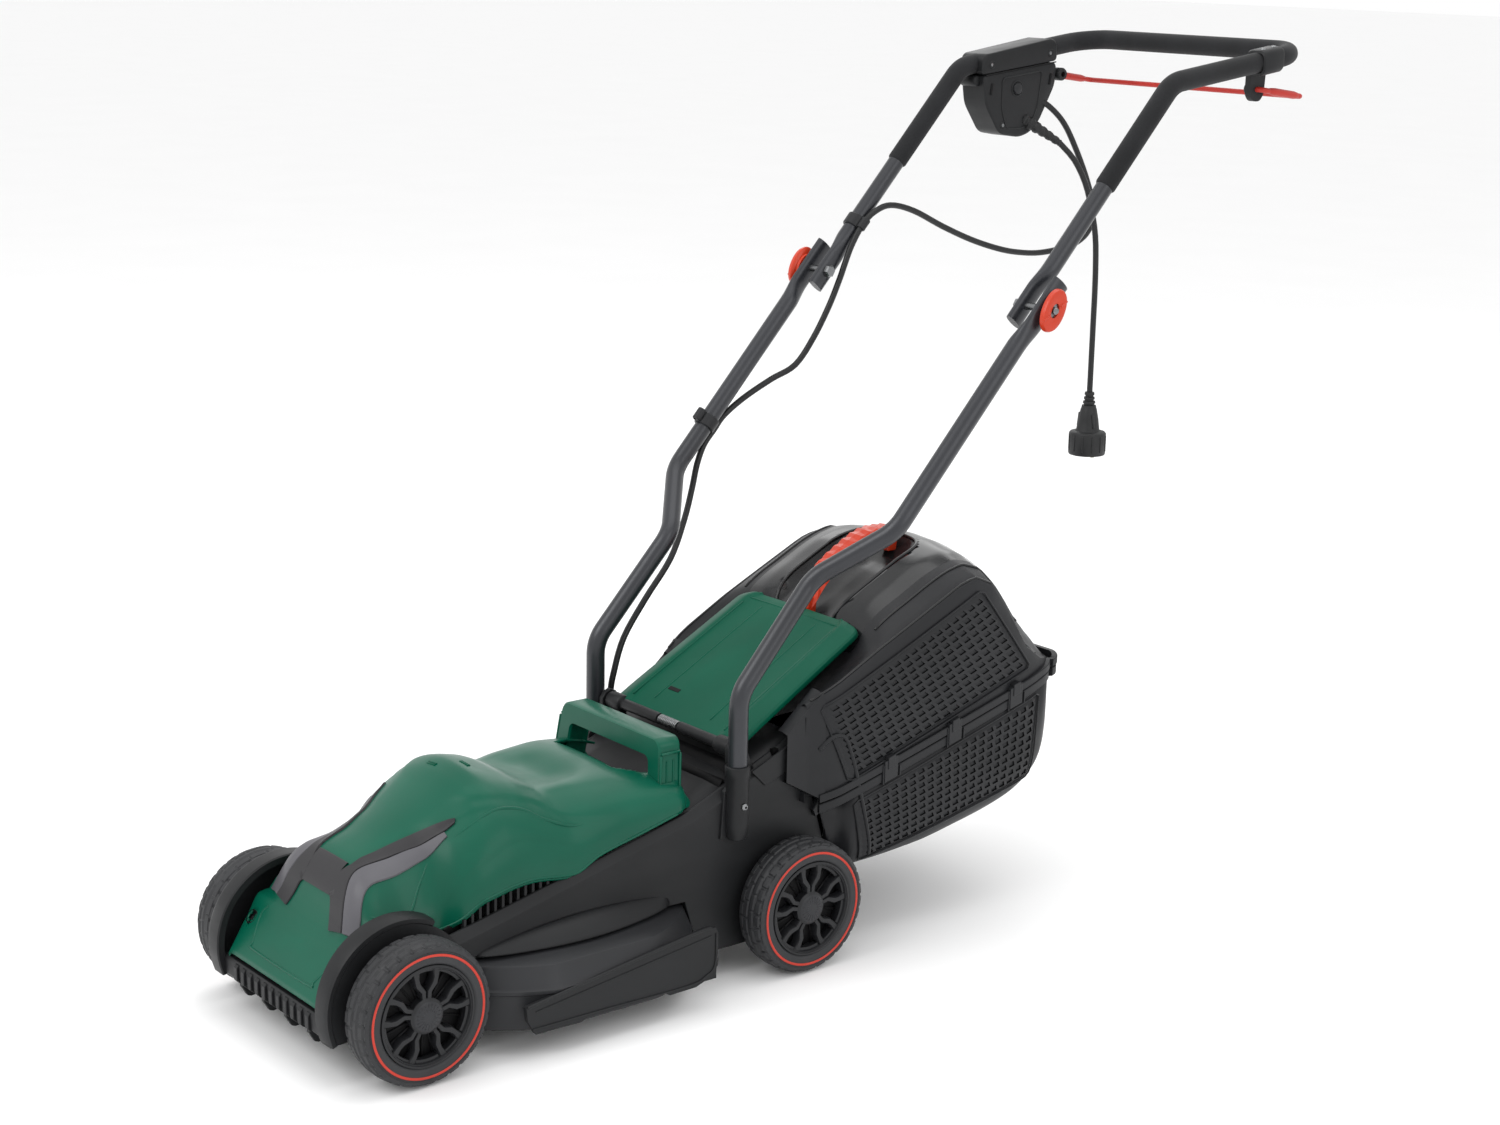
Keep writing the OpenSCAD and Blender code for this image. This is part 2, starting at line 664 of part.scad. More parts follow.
module deck_screws() color("silver") {
    // screws through the tube sockets
    both_sides() {
        pin_x(2, socket_x + 4, socket_x + lower_r + 4, socket_y, 186);
        pin_x(3.6, socket_x + lower_r + 3.1, socket_x + lower_r + 5.1, socket_y, 186);
    }
    // screws of the front panel
    both_sides() translate([84, -280, 80]) rotate([-58, 0, 0]) {
        translate([0, 0, 10]) cylinder(r = 2.5, h = 8);
    }
}

// bolts of the fold joint, heads towards the middle
module handle_bolts() color("silver") both_sides() {
    pin_x(bolt_r, upper_x - upper_r - 1, lower_tube_x + lower_r + 15, pivot[0], pivot[1]);
    translate([upper_x - upper_r - 7, pivot[0], pivot[1]]) rotate([0, 90, 0])
        cylinder(r = bolt_r + 3, h = 6, $fn = 6);
}

module knob(side) color(red) mirror([side > 0 ? 0 : 1, 0, 0]) difference() {
    translate([lower_tube_x + lower_r + body_gap, pivot[0], pivot[1]]) rotate([0, 90, 0]) {
        cylinder(r = bolt_r + 7, h = 5);
        translate([0, 0, 4]) linear_extrude(8) intersection() {
            translate([0, -14]) circle(27, $fn = 96);
            translate([0, 14]) circle(27, $fn = 96);
        }
    }
    pin_x(bolt_r + run_gap, lower_tube_x, lower_tube_x + 60, pivot[0], pivot[1]);
}

// ---------- upper handle ----------

// point on the upper handle's straight left leg, t from the fold joint
function up_tube(t) = [upper_x, pivot[0] + lean[0] * t, pivot[1] + lean[1] * t];
function mirrored(pts) = [for (i = [len(pts) - 1:-1:0]) [-pts[i].x, pts[i].y, pts[i].z]];
upper_ends = [
    up_tube(-24),
    up_tube(straight_l),
    [upper_x, bar_y, bar_z]
];
upper_route = route(concat(upper_ends, mirrored(upper_ends)), 38, 6);
sleeve_ends = [up_tube(sleeve_at), upper_ends[1], upper_ends[2]];
sleeve_route = route(concat(sleeve_ends, mirrored(sleeve_ends)), 38, 6);

module upper_handle() color("#3c3e43") difference() {
    pipe(upper_route, upper_r, upper_r - tube_wall);
    both_sides() pin_x(bolt_r + run_gap, upper_x - 20, upper_x + 20, pivot[0], pivot[1]);
}

module grip_sleeve() color("#2b2c2e") pipe(sleeve_route, sleeve_r, upper_r + seat_gap);

// ---------- switch box on the right-hand side of the handle ----------

level_rise = atan2(bar_z - upper_ends[1].z, bar_y - upper_ends[1].y);
function tube_z(y) = upper_ends[1].z + (y - upper_ends[1].y) * tan(level_rise);
seam_z = 895;
switch_x = -upper_x;
module switch_outline() {
    polygon([
        [717, 921], [724, 925], [832, 936], [838, 932], [838, 856], [802, 813], [780, 809],
        [742, 822], [722, 860], [717, 882]
    ]);
}
// room round the sleeve where the handle runs level, at x
module level_bore(x, gap) {
    translate([x, upper_ends[1].y, upper_ends[1].z]) rotate([level_rise - 90, 0, 0])
        cylinder(r = sleeve_r + gap, h = 400, center = true);
}
module switch_shell_top() color(black) difference() {
    across(switch_x - 20, switch_x + 20) intersection() {
        switch_outline();
        translate([600, seam_z + 0.1]) square([300, 100]);
    }
    level_bore(switch_x, 0.5);
}
module switch_shell_bottom() color(black) difference() {
    union() {
        across(switch_x - 20, switch_x + 20) intersection() {
            switch_outline();
            translate([600, seam_z - 200]) square([300, 199.9]);
        }
        // lug that carries the lever's right-hand end
        across(switch_x + 8, switch_x + 14) polygon([[830, 870], [830, 892], [852, 892], [856, 884], [852, 874]]);
    }
    across(switch_x - 17, switch_x + 17) intersection() {
        offset(delta = -3) switch_outline();
        translate([600, seam_z - 200]) square([300, 198]);
    }
    level_bore(switch_x, 0.5);
    pin_x(bail_r + run_gap, switch_x, switch_x + 30, bail_y, bail_z);
    // hole of the lock button
    pin_x(7.1, switch_x + 10, switch_x + 30, 772, 868);
}
module switch_core() color("#d8d4c8")
    translate([switch_x - 2, 776, 850]) cube([24, 50, 34], center = true);
module lock_button() color(red) {
    pin_x(7, switch_x + 17.5, switch_x + 24, 772, 868);
}

// clamp and lug on the left-hand side
module bail_bracket() color(black) difference() {
    union() {
        across(upper_x - 15, upper_x + 15) polygon([
            [832, tube_z(832) - 14], [832, tube_z(832) + 14], [862, tube_z(862) + 14], [862, tube_z(862) - 14]
        ]);
        across(upper_x - 14, upper_x - 8) polygon([
            [834, 906], [834, 876], [840, 870], [851, 870], [856, 878], [858, 906]
        ]);
    }
    level_bore(upper_x, seat_gap);
    pin_x(bail_r + run_gap, upper_x - 30, upper_x, bail_y, bail_z);
}

module handle_screws() color("silver") {
    for (y = [722, 824]) translate([switch_x - sleeve_r - 2.8, y, tube_z(y) + 8]) cylinder(r = 2.5, h = 10);
    translate([upper_x + sleeve_r + 1, 840, tube_z(840) + 7]) cylinder(r = 2.5, h = 10);
}

// the U-shaped switch lever: two arms, a bar and two pivot stubs
bail_route = route([
    [upper_x - 15, bail_y, bail_z],
    [upper_x, bail_y, bail_z],
    [upper_x, bail_y + bail_arm, bail_z - 9],
    [-upper_x, bail_y + bail_arm, bail_z - 9],
    [-upper_x, bail_y, bail_z],
    [-upper_x + 15, bail_y, bail_z]
], 8, 4);
module bail_lever() color("#c8302a") {
    rod(bail_route, bail_r - 0.1, 12);
    both_sides() pin_x(bail_r, upper_x - 15, upper_x - 7, bail_y, bail_z);
}

// ---------- cables ----------

// middle of the motor cable from the switch box to the clip on the upper tube, then to the fold joint
cable_upper_points = [
    [-158, 816, 838], [-155, 830, 824], [-151, 842, 812], [-146, 858, 796], [-140, 878, 768], [-137, 888, 735],
    [-136, 886, 705], [-136, 872, 687], [-137, 850, 678], [-138, 816, 674], [-140, 784, 676],
    [-142, 752, 682], [-144, 709, 695], [-146, 664, 713], [-148, 620, 733], [-149, 585, 741],
    [-149, 560, 734], [-149, 543, 720], [-149, 528, 698], [-149, 518, 676], [-150, 513, 662]
];
// from the fold joint down the right-hand lower tube into the deck
cable_lower_points = [
    [-150, 513, 661], [-152, 500, 632], [-157, 482, 596], [-164, 462, 566], [-172, 434, 551],
    [-180, 402, 532], [-183, 376, 514], [-183, 362, 499], [-183, 348, 483], [-182, 338, 462],
    [-180, 330, 436], [-170, 312, 404], [-152, 280, 368], [-138, 236, 332], [-128, 200, 296],
    [-124, 184, 260], [-124, 180, 240], [-124, 180, 222]
];
// the free lead from the switch box down to its plug
lead_points = [
    [-120, 823, 805], [-112, 841, 785], [-107, 856, 758], [-104, 866, 727], [-102, 873, 694],
    [-102, 876, 660], [-102, 877, 626], [-102, 877, 592], [-102, 877, 558], [-102, 877, 530],
    [-102, 877, 505]
];
module motor_cable_upper() color("#232426") rod(curve(cable_upper_points, 2), cord_d / 2, 10);
module motor_cable_lower() color("#232426") rod(curve(cable_lower_points, 2), cord_d / 2, 10);
module power_lead() color("#232426") rod(curve(lead_points, 2), cord_d / 2, 10);

// a band round a tube at the route's height y, and round the cable at an offset beside it
module clip(x, y, r, beside) {
    translate([x, y, pivot[1] + (y - pivot[0]) * lean[1] / lean[0]])
        rotate([-atan2(lean[0], lean[1]), 0, 0]) linear_extrude(14, center = true) difference() {
            hull() {
                circle(r + 2.4);
                translate(beside) circle(cord_d / 2 + 1.8);
            }
            circle(r + 0.1);
            translate(beside) circle(cord_d / 2 + 0.1);
        }
}
module cable_clip_upper() color("#1f2022") clip(-upper_x, 545, upper_r, [14.6, 0]);
module cable_clip_lower() color("#1f2022") clip(-lower_tube_x, 352, lower_r, [0.5, 14.2]);

// tapered sleeve between the switch box and the lead
boot_top = [-147, 789, 831];
module strain_relief() color("#202123") hull() {
    for (e = [[boot_top, 8.5], [lead_points[0], 4.6]]) translate(e[0]) point_along(lead_points[0] - boot_top)
        cylinder(r = e[1], h = 0.1, center = true, $fn = 32);
}
// turns the Z axis to the direction v
module point_along(v) {
    rotate([0, acos(v.z / norm(v)), atan2(v.y, v.x)]) children();
}

lead_end = lead_points[len(lead_points) - 1];
module plug_body() color("#2a2b2d") translate(lead_end) difference() {
    union() {
        translate([0, 0, -20]) cylinder(r1 = 9, r2 = 6, h = 20);
        translate([0, 0, -48]) cylinder(r1 = 14, r2 = 9.5, h = 28.2);
        translate([0, 0, -77]) cylinder(r = 22.5, h = 29.2);
    }
    translate([0, 0, -78]) cylinder(r = 19.5, h = 17);
}
// standard round pins, 19 mm apart and 19 mm long outside the plug's face
module plug_pins() color("gold") for (s = [-1, 1]) translate(lead_end + [s * 9.5, 0, -80])
    cylinder(r = 2.4, h = 19);

deck_shell();
motor_cover();
cover_trim();
trim_inlays();
vent_grilles();
motor_housing();
motor_bearings();
flap_pin();
flap_spring();
lower_tube(1);  // lower_tube_left
lower_tube(-1);  // lower_tube_right
deck_screws();
handle_bolts();
cable_clip_lower();
motor_cable_lower();
armature();
blade_carrier();
blade();
blade_bolt();
axle(-axle_y);  // front_axle
axle(axle_y);  // rear_axle
tyre(1, -axle_y);  // tyre_fl
tyre(-1, -axle_y);  // tyre_fr
tyre(1, axle_y);  // tyre_rl
tyre(-1, axle_y);  // tyre_rr
rim(1, -axle_y);  // rim_fl
rim(-1, -axle_y);  // rim_fr
rim(1, axle_y);  // rim_rl
rim(-1, axle_y);  // rim_rr
stripe(1, -axle_y);  // stripe_fl
stripe(-1, -axle_y);  // stripe_fr
stripe(1, axle_y);  // stripe_rl
stripe(-1, axle_y);  // stripe_rr
cap(1, -axle_y);  // cap_fl
cap(-1, -axle_y);  // cap_fr
cap(1, axle_y);  // cap_rl
cap(-1, axle_y);  // cap_rr
flap();
catcher_lower();
catcher_upper();
catcher_grip();
catcher_clips();
upper_handle();
grip_sleeve();
switch_shell_top();
switch_shell_bottom();
switch_core();
bail_bracket();
handle_screws();
cable_clip_upper();
motor_cable_upper();
power_lead();
strain_relief();
plug_body();
plug_pins();
bail_lever();
knob(1);  // knob_left
knob(-1);  // knob_right
lock_button();
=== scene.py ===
# Looks of the corded rotary mower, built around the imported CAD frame.
import json
import math
import bpy
import bmesh
import numpy as np
from mathutils import Matrix, Vector

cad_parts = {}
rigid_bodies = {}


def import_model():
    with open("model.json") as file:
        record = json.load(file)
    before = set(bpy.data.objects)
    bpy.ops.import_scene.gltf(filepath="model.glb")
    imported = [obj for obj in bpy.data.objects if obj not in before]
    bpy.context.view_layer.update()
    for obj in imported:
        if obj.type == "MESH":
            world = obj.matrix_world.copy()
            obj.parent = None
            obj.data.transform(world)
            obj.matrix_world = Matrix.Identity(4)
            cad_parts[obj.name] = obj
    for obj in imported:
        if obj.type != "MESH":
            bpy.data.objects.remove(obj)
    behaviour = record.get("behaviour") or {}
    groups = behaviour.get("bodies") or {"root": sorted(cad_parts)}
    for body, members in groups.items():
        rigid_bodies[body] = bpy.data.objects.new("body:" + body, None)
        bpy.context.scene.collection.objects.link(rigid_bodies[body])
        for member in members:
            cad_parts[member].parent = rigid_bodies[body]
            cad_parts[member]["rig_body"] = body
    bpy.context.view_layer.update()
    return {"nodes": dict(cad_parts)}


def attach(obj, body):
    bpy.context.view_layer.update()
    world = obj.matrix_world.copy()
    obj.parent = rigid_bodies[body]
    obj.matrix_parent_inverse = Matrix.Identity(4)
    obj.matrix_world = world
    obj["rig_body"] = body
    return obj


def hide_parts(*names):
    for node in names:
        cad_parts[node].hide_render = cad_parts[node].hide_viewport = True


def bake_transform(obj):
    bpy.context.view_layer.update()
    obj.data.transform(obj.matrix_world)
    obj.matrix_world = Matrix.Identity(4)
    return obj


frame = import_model()
NODES = frame["nodes"]
MM = 0.001

# measures that several sections share, in millimetres
AXLE_Y, AXLE_Z = 229, 70        # the front axle is at -AXLE_Y
SX, SY = 124, 160               # feet of the handle tubes

# ---------------------------------------------------------------- camera

AZ, EL, ROLL = (math.radians(v) for v in (51.193, 13.896, 1.132))
back = Vector((math.sin(AZ) * math.cos(EL), -math.cos(AZ) * math.cos(EL), math.sin(EL)))
right = Vector((math.cos(AZ), math.sin(AZ), 0))
up = back.cross(right)
side = right * math.cos(ROLL) + up * math.sin(ROLL)
high = up * math.cos(ROLL) - right * math.sin(ROLL)
camera_data = bpy.data.cameras.new("camera")
camera_data.sensor_width = 36
camera_data.lens = 61.784
camera_data.clip_end = 50
camera = bpy.data.objects.new("camera", camera_data)
place = Matrix((side, high, back)).transposed().to_4x4()
place.translation = Vector((2.04986, -1.37812, 1.04697))
camera.matrix_world = place
bpy.context.scene.collection.objects.link(camera)
bpy.context.scene.camera = camera


# ---------------------------------------------------------------- materials

class Graph:
    """A new material's node graph, ending in one Principled shader."""

    def __init__(self, name):
        self.material = bpy.data.materials.new(name)
        self.material.use_nodes = True
        self.tree = self.material.node_tree
        self.shader = self.tree.nodes["Principled BSDF"]
        self.place = self.add("ShaderNodeTexCoord").outputs["Object"]

    def add(self, kind, **values):
        node = self.tree.nodes.new(kind)
        for key, value in values.items():
            setattr(node, key, value)
        return node

    def link(self, a, b):
        self.tree.links.new(a, b)

    def noise(self, scale, detail=2.0, stretch=None):
        node = self.add("ShaderNodeTexNoise")
        node.inputs["Scale"].default_value = scale
        node.inputs["Detail"].default_value = detail
        place = self.place
        if stretch:
            mapping = self.add("ShaderNodeMapping")
            mapping.inputs["Scale"].default_value = stretch
            self.link(self.place, mapping.inputs["Vector"])
            place = mapping.outputs["Vector"]
        self.link(place, node.inputs["Vector"])
        return node.outputs["Fac"]

    def ramp(self, value, low, high, start=0.35, end=0.65):
        node = self.add("ShaderNodeMapRange")
        node.inputs["From Min"].default_value = start
        node.inputs["From Max"].default_value = end
        node.inputs["To Min"].default_value = low
        node.inputs["To Max"].default_value = high
        self.link(value, node.inputs["Value"])
        return node.outputs["Result"]

    def mix(self, factor, a, b):
        node = self.add("ShaderNodeMix", data_type="RGBA")
        for socket, colour in ((node.inputs[6], a), (node.inputs[7], b)):
            if isinstance(colour, tuple):
                socket.default_value = (*colour, 1)
            else:
                self.link(colour, socket)
        self.link(factor, node.inputs[0])
        return node.outputs[2]

    def bump(self, height, distance, strength=1.0, onto=None):
        node = self.add("ShaderNodeBump")
        node.inputs["Distance"].default_value = distance
        node.inputs["Strength"].default_value = strength
        self.link(height, node.inputs["Height"])
        if onto is not None:
            self.link(onto, node.inputs["Normal"])
        return node.outputs["Normal"]


# the light is strong enough to white out the floor, so paint is mixed darker by this
STUDIO = 0.5


def srgb(text):
    """Linear colour of a six digit hex code."""
    values = [int(text[k:k + 2], 16) / 255 for k in (0, 2, 4)]
    return tuple(STUDIO * (v / 12.92 if v <= 0.04045 else ((v + 0.055) / 1.055) ** 2.4) for v in values)


def shade(colour, k):
    return tuple(min(c * k, 1) for c in colour)


def plastic(name, code, rough, grain=900.0, depth=0.00004, spread=0.16, coat=0.0, specular=0.3):
    """Moulded plastic: fine texture, soft flow marks and a slightly uneven gloss."""
    g = Graph(name)
    colour = srgb(code)
    broad = g.noise(9.0, 3.0)
    fine = g.noise(grain, 3.0)
    flow = g.noise(26.0, 4.0, (1.0, 0.35, 1.6))
    base = g.mix(g.ramp(broad, 0.0, 1.0), shade(colour, 1 - spread), shade(colour, 1 + spread))
    dust = g.ramp(flow, 0.0, 0.10, 0.55, 0.8)
    g.link(g.mix(dust, base, shade(colour, 1.9)), g.shader.inputs["Base Color"])
    g.link(g.ramp(flow, rough - 0.05, rough + 0.06), g.shader.inputs["Roughness"])
    g.shader.inputs["Specular IOR Level"].default_value = specular
    g.shader.inputs["Coat Weight"].default_value = coat
    g.shader.inputs["Coat Roughness"].default_value = 0.12
    soft = g.bump(flow, 0.0004, 0.25)
    g.link(g.bump(fine, depth, 1.0, soft), g.shader.inputs["Normal"])
    return g.material


def metal(name, code, rough, brushed=(1.0, 1.0, 1.0), scale=400.0, depth=0.00002):
    """Plated or ground metal with fine drawn lines."""
    g = Graph(name)
    colour = srgb(code)
    lines = g.noise(scale, 4.0, brushed)
    broad = g.noise(14.0, 3.0)
    g.link(g.mix(g.ramp(broad, 0.0, 1.0), shade(colour, 0.8), shade(colour, 1.12)),
           g.shader.inputs["Base Color"])
    g.link(g.ramp(lines, rough - 0.08, rough + 0.1), g.shader.inputs["Roughness"])
    g.shader.inputs["Metallic"].default_value = 1.0
    g.link(g.bump(lines, depth), g.shader.inputs["Normal"])
    return g.material


def powder(name, code, rough):
    """Satin powder coat: orange peel and a metallic undertone."""
    g = Graph(name)
    colour = srgb(code)
    peel = g.noise(420.0, 2.0)
    broad = g.noise(7.0, 3.0)
    fleck = g.noise(2600.0, 1.0)
    base = g.mix(g.ramp(broad, 0.0, 1.0), shade(colour, 0.88), shade(colour, 1.14))
    g.link(g.mix(g.ramp(fleck, 0.0, 0.35, 0.6, 0.75), base, shade(colour, 2.4)),
           g.shader.inputs["Base Color"])
    g.link(g.ramp(peel, rough - 0.04, rough + 0.05), g.shader.inputs["Roughness"])
    g.shader.inputs["Metallic"].default_value = 0.35
    g.shader.inputs["Coat Weight"].default_value = 0.25
    g.shader.inputs["Coat Roughness"].default_value = 0.3
    g.link(g.bump(peel, 0.00003), g.shader.inputs["Normal"])
    return g.material


def foam(name, code):
    """Closed-cell grip foam: dull, with small open pores."""
    g = Graph(name)
    colour = srgb(code)
    cells = g.add("ShaderNodeTexVoronoi")
    cells.inputs["Scale"].default_value = 1100.0
    g.link(g.place, cells.inputs["Vector"])
    pores = cells.outputs["Distance"]
    broad = g.noise(30.0, 4.0)
    base = g.mix(g.ramp(broad, 0.0, 1.0), shade(colour, 0.8), shade(colour, 1.25))
    g.link(g.mix(g.ramp(pores, 0.0, 1.0, 0.1, 0.5), shade(colour, 0.5), base), g.shader.inputs["Base Color"])
    g.shader.inputs["Roughness"].default_value = 0.82
    g.shader.inputs["Specular IOR Level"].default_value = 0.3
    g.shader.inputs["Sheen Weight"].default_value = 0.08
    g.link(g.bump(pores, 0.00015, 0.8), g.shader.inputs["Normal"])
    return g.material


def rubber(name, code, rough=0.6):
    """Tyre and cable rubber: dull, a little dusty in broad patches."""
    g = Graph(name)
    colour = srgb(code)
    fine = g.noise(1400.0, 3.0)
    patch = g.noise(38.0, 5.0)
    dust = g.ramp(patch, 0.0, 0.35, 0.5, 0.85)
    base = g.mix(g.ramp(g.noise(10.0), 0.0, 1.0), shade(colour, 0.85), shade(colour, 1.15))
    g.link(g.mix(dust, base, shade(colour, 1.7)), g.shader.inputs["Base Color"])
    g.link(g.ramp(patch, rough - 0.05, rough + 0.12), g.shader.inputs["Roughness"])
    g.shader.inputs["Specular IOR Level"].default_value = 0.4
    g.link(g.bump(fine, 0.00005), g.shader.inputs["Normal"])
    return g.material


GREEN = plastic("green_plastic", "007056", 0.34, 1200.0, 0.00002, 0.07, 0.06, 0.22)
FLAP_GREEN = plastic("dark_green_plastic", "006a50", 0.42, 1200.0, 0.00003, 0.08, 0.02, 0.14)
BLACK = plastic("black_plastic", "2b2c2e", 0.46, 1000.0, 0.00005, 0.12, 0.0, 0.24)
LEDGE = plastic("deck_ledge_plastic", "38393c", 0.44, 1000.0, 0.00005, 0.12)
GLOSS = plastic("gloss_black_plastic", "242527", 0.2, 1500.0, 0.00001, 0.1, 0.2, 0.3)
BOX = plastic("box_plastic", "2c2d30", 0.42, 900.0, 0.00006, 0.12, 0.0, 0.26)
PIT = plastic("slot_shadow", "0b0b0c", 0.8, 900.0, 0.00004, 0.1, 0.0, 0.1)
TRIM = plastic("grey_trim", "3c3b3e", 0.4, 1100.0, 0.00004, 0.1)
INLAY = plastic("light_trim", "75747a", 0.4, 1100.0, 0.00004, 0.1)
RIM = plastic("rim_plastic", "2f3033", 0.42, 1100.0, 0.00004, 0.1)
HUB = plastic("hub_plastic", "3b3c40", 0.38, 1100.0, 0.00004, 0.1)
# near-black painted shade for the bottoms of holes, wells, slots, grooves and other recesses
RECESS_SHADE = plastic("painted_recess_shade", "151517", 0.6, 900.0, 0.00004, 0.1, 0.0, 0.2)
RED = plastic("red_plastic", "ff4a24", 0.34, 1200.0, 0.00002, 0.06, 0.2)
STRIPE = plastic("red_stripe", "ff4e3c", 0.42, 1200.0, 0.00002, 0.05)
LEVER = plastic("red_lever", "e83c30", 0.4, 900.0, 0.00003, 0.08, 0.1)
TYRE = rubber("tyre_plastic", "3b3c3f", 0.52)
CABLE = rubber("cable_pvc", "1f2022", 0.42)
PLUG = rubber("plug_rubber", "242527", 0.5)
TUBE = powder("tube_paint", "3a3c42", 0.34)
FOAM = foam("grip_foam", "26272a")
ZINC = metal("zinc_steel", "b9bbbd", 0.3)
BLADE = metal("blade_steel", "85888c", 0.36, (6.0, 0.3, 1.0))
CAN = metal("motor_can", "8d9094", 0.32, (1.0, 1.0, 5.0))
BEARING = metal("bearing_steel", "c8cacc", 0.2)
COPPER = metal("copper_iron", "a8653a", 0.42, (4.0, 4.0, 0.4))
BRASS = metal("brass_pins", "cfc6a8", 0.24)
SWITCH = plastic("switch_body", "cfcabb", 0.5, 900.0, 0.00003, 0.05)

CAD_LOOKS = {
    "deck_shell": BLACK, "motor_cover": GREEN, "cover_trim": TRIM, "trim_inlays": INLAY,
    "vent_grilles": BLACK, "motor_housing": CAN, "motor_bearings": BEARING, "flap_pin": ZINC,
    "flap_spring": ZINC, "lower_tube_left": TUBE, "lower_tube_right": TUBE, "deck_screws": ZINC,
    "handle_bolts": ZINC, "cable_clip_lower": RIM, "motor_cable_lower": CABLE, "armature": COPPER,
    "blade_carrier": RIM, "blade": BLADE, "blade_bolt": ZINC, "front_axle": ZINC, "rear_axle": ZINC,
    "flap": FLAP_GREEN, "catcher_lower": BOX, "catcher_upper": GLOSS, "catcher_grip": RED,
    "catcher_clips": RIM, "upper_handle": TUBE, "grip_sleeve": FOAM, "switch_shell_top": BLACK,
    "switch_shell_bottom": BLACK, "switch_core": SWITCH, "bail_bracket": RIM, "handle_screws": ZINC,
    "cable_clip_upper": RIM, "motor_cable_upper": CABLE, "power_lead": CABLE, "strain_relief": PLUG,
    "plug_body": PLUG, "plug_pins": BRASS, "bail_lever": LEVER, "knob_left": RED, "knob_right": RED,
    "lock_button": RED,
}
for corner in ("fl", "fr", "rl", "rr"):
    CAD_LOOKS.update({"tyre_" + corner: TYRE, "rim_" + corner: RIM, "stripe_" + corner: STRIPE,
                      "cap_" + corner: HUB})
for node_name, look in CAD_LOOKS.items():
    NODES[node_name].data.materials.clear()
    NODES[node_name].data.materials.append(look)


# ---------------------------------------------------------------- mesh helpers (millimetres)

def make(name, points, faces, looks, body, slot=None, for_nodes=(), smooth=35, marks=None,
         bevel=0.0, solid=0.0, solid_offset=-1.0, subdiv=0, segments=2):
    """A mesh piece from points in millimetres, riding on a body. marks gives each face's material."""
    looks = looks if isinstance(looks, (list, tuple)) else [looks]
    data = bpy.data.meshes.new(name)
    data.from_pydata([tuple(float(c) * MM for c in p) for p in points], [],
                     [tuple(map(int, f)) for f in faces])
    for look in looks:
        data.materials.append(look)
    if marks is not None:
        data.polygons.foreach_set("material_index", np.asarray(marks, np.int32))
    data.validate()
    piece = bpy.data.objects.new(name, data)
    bpy.context.scene.collection.objects.link(piece)
    tidy = bmesh.new()
    tidy.from_mesh(data)
    bmesh.ops.remove_doubles(tidy, verts=tidy.verts, dist=0.00001)
    bmesh.ops.recalc_face_normals(tidy, faces=tidy.faces)
    tidy.to_mesh(data)
    tidy.free()
    data.polygons.foreach_set("use_smooth", [True] * len(data.polygons))
    data.set_sharp_from_angle(angle=math.radians(smooth))
    if solid:
        m = piece.modifiers.new("wall", "SOLIDIFY")
        m.thickness = solid * MM
        m.offset = solid_offset
    if bevel:
        m = piece.modifiers.new("edges", "BEVEL")
        m.width = bevel * MM
        m.segments = segments
        m.limit_method = "ANGLE"
        m.angle_limit = math.radians(38)
        m.harden_normals = True
    if subdiv:
        m = piece.modifiers.new("smooth", "SUBSURF")
        m.levels = m.render_levels = subdiv
    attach(piece, body)
    for n in for_nodes:
        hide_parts(n)
    return piece


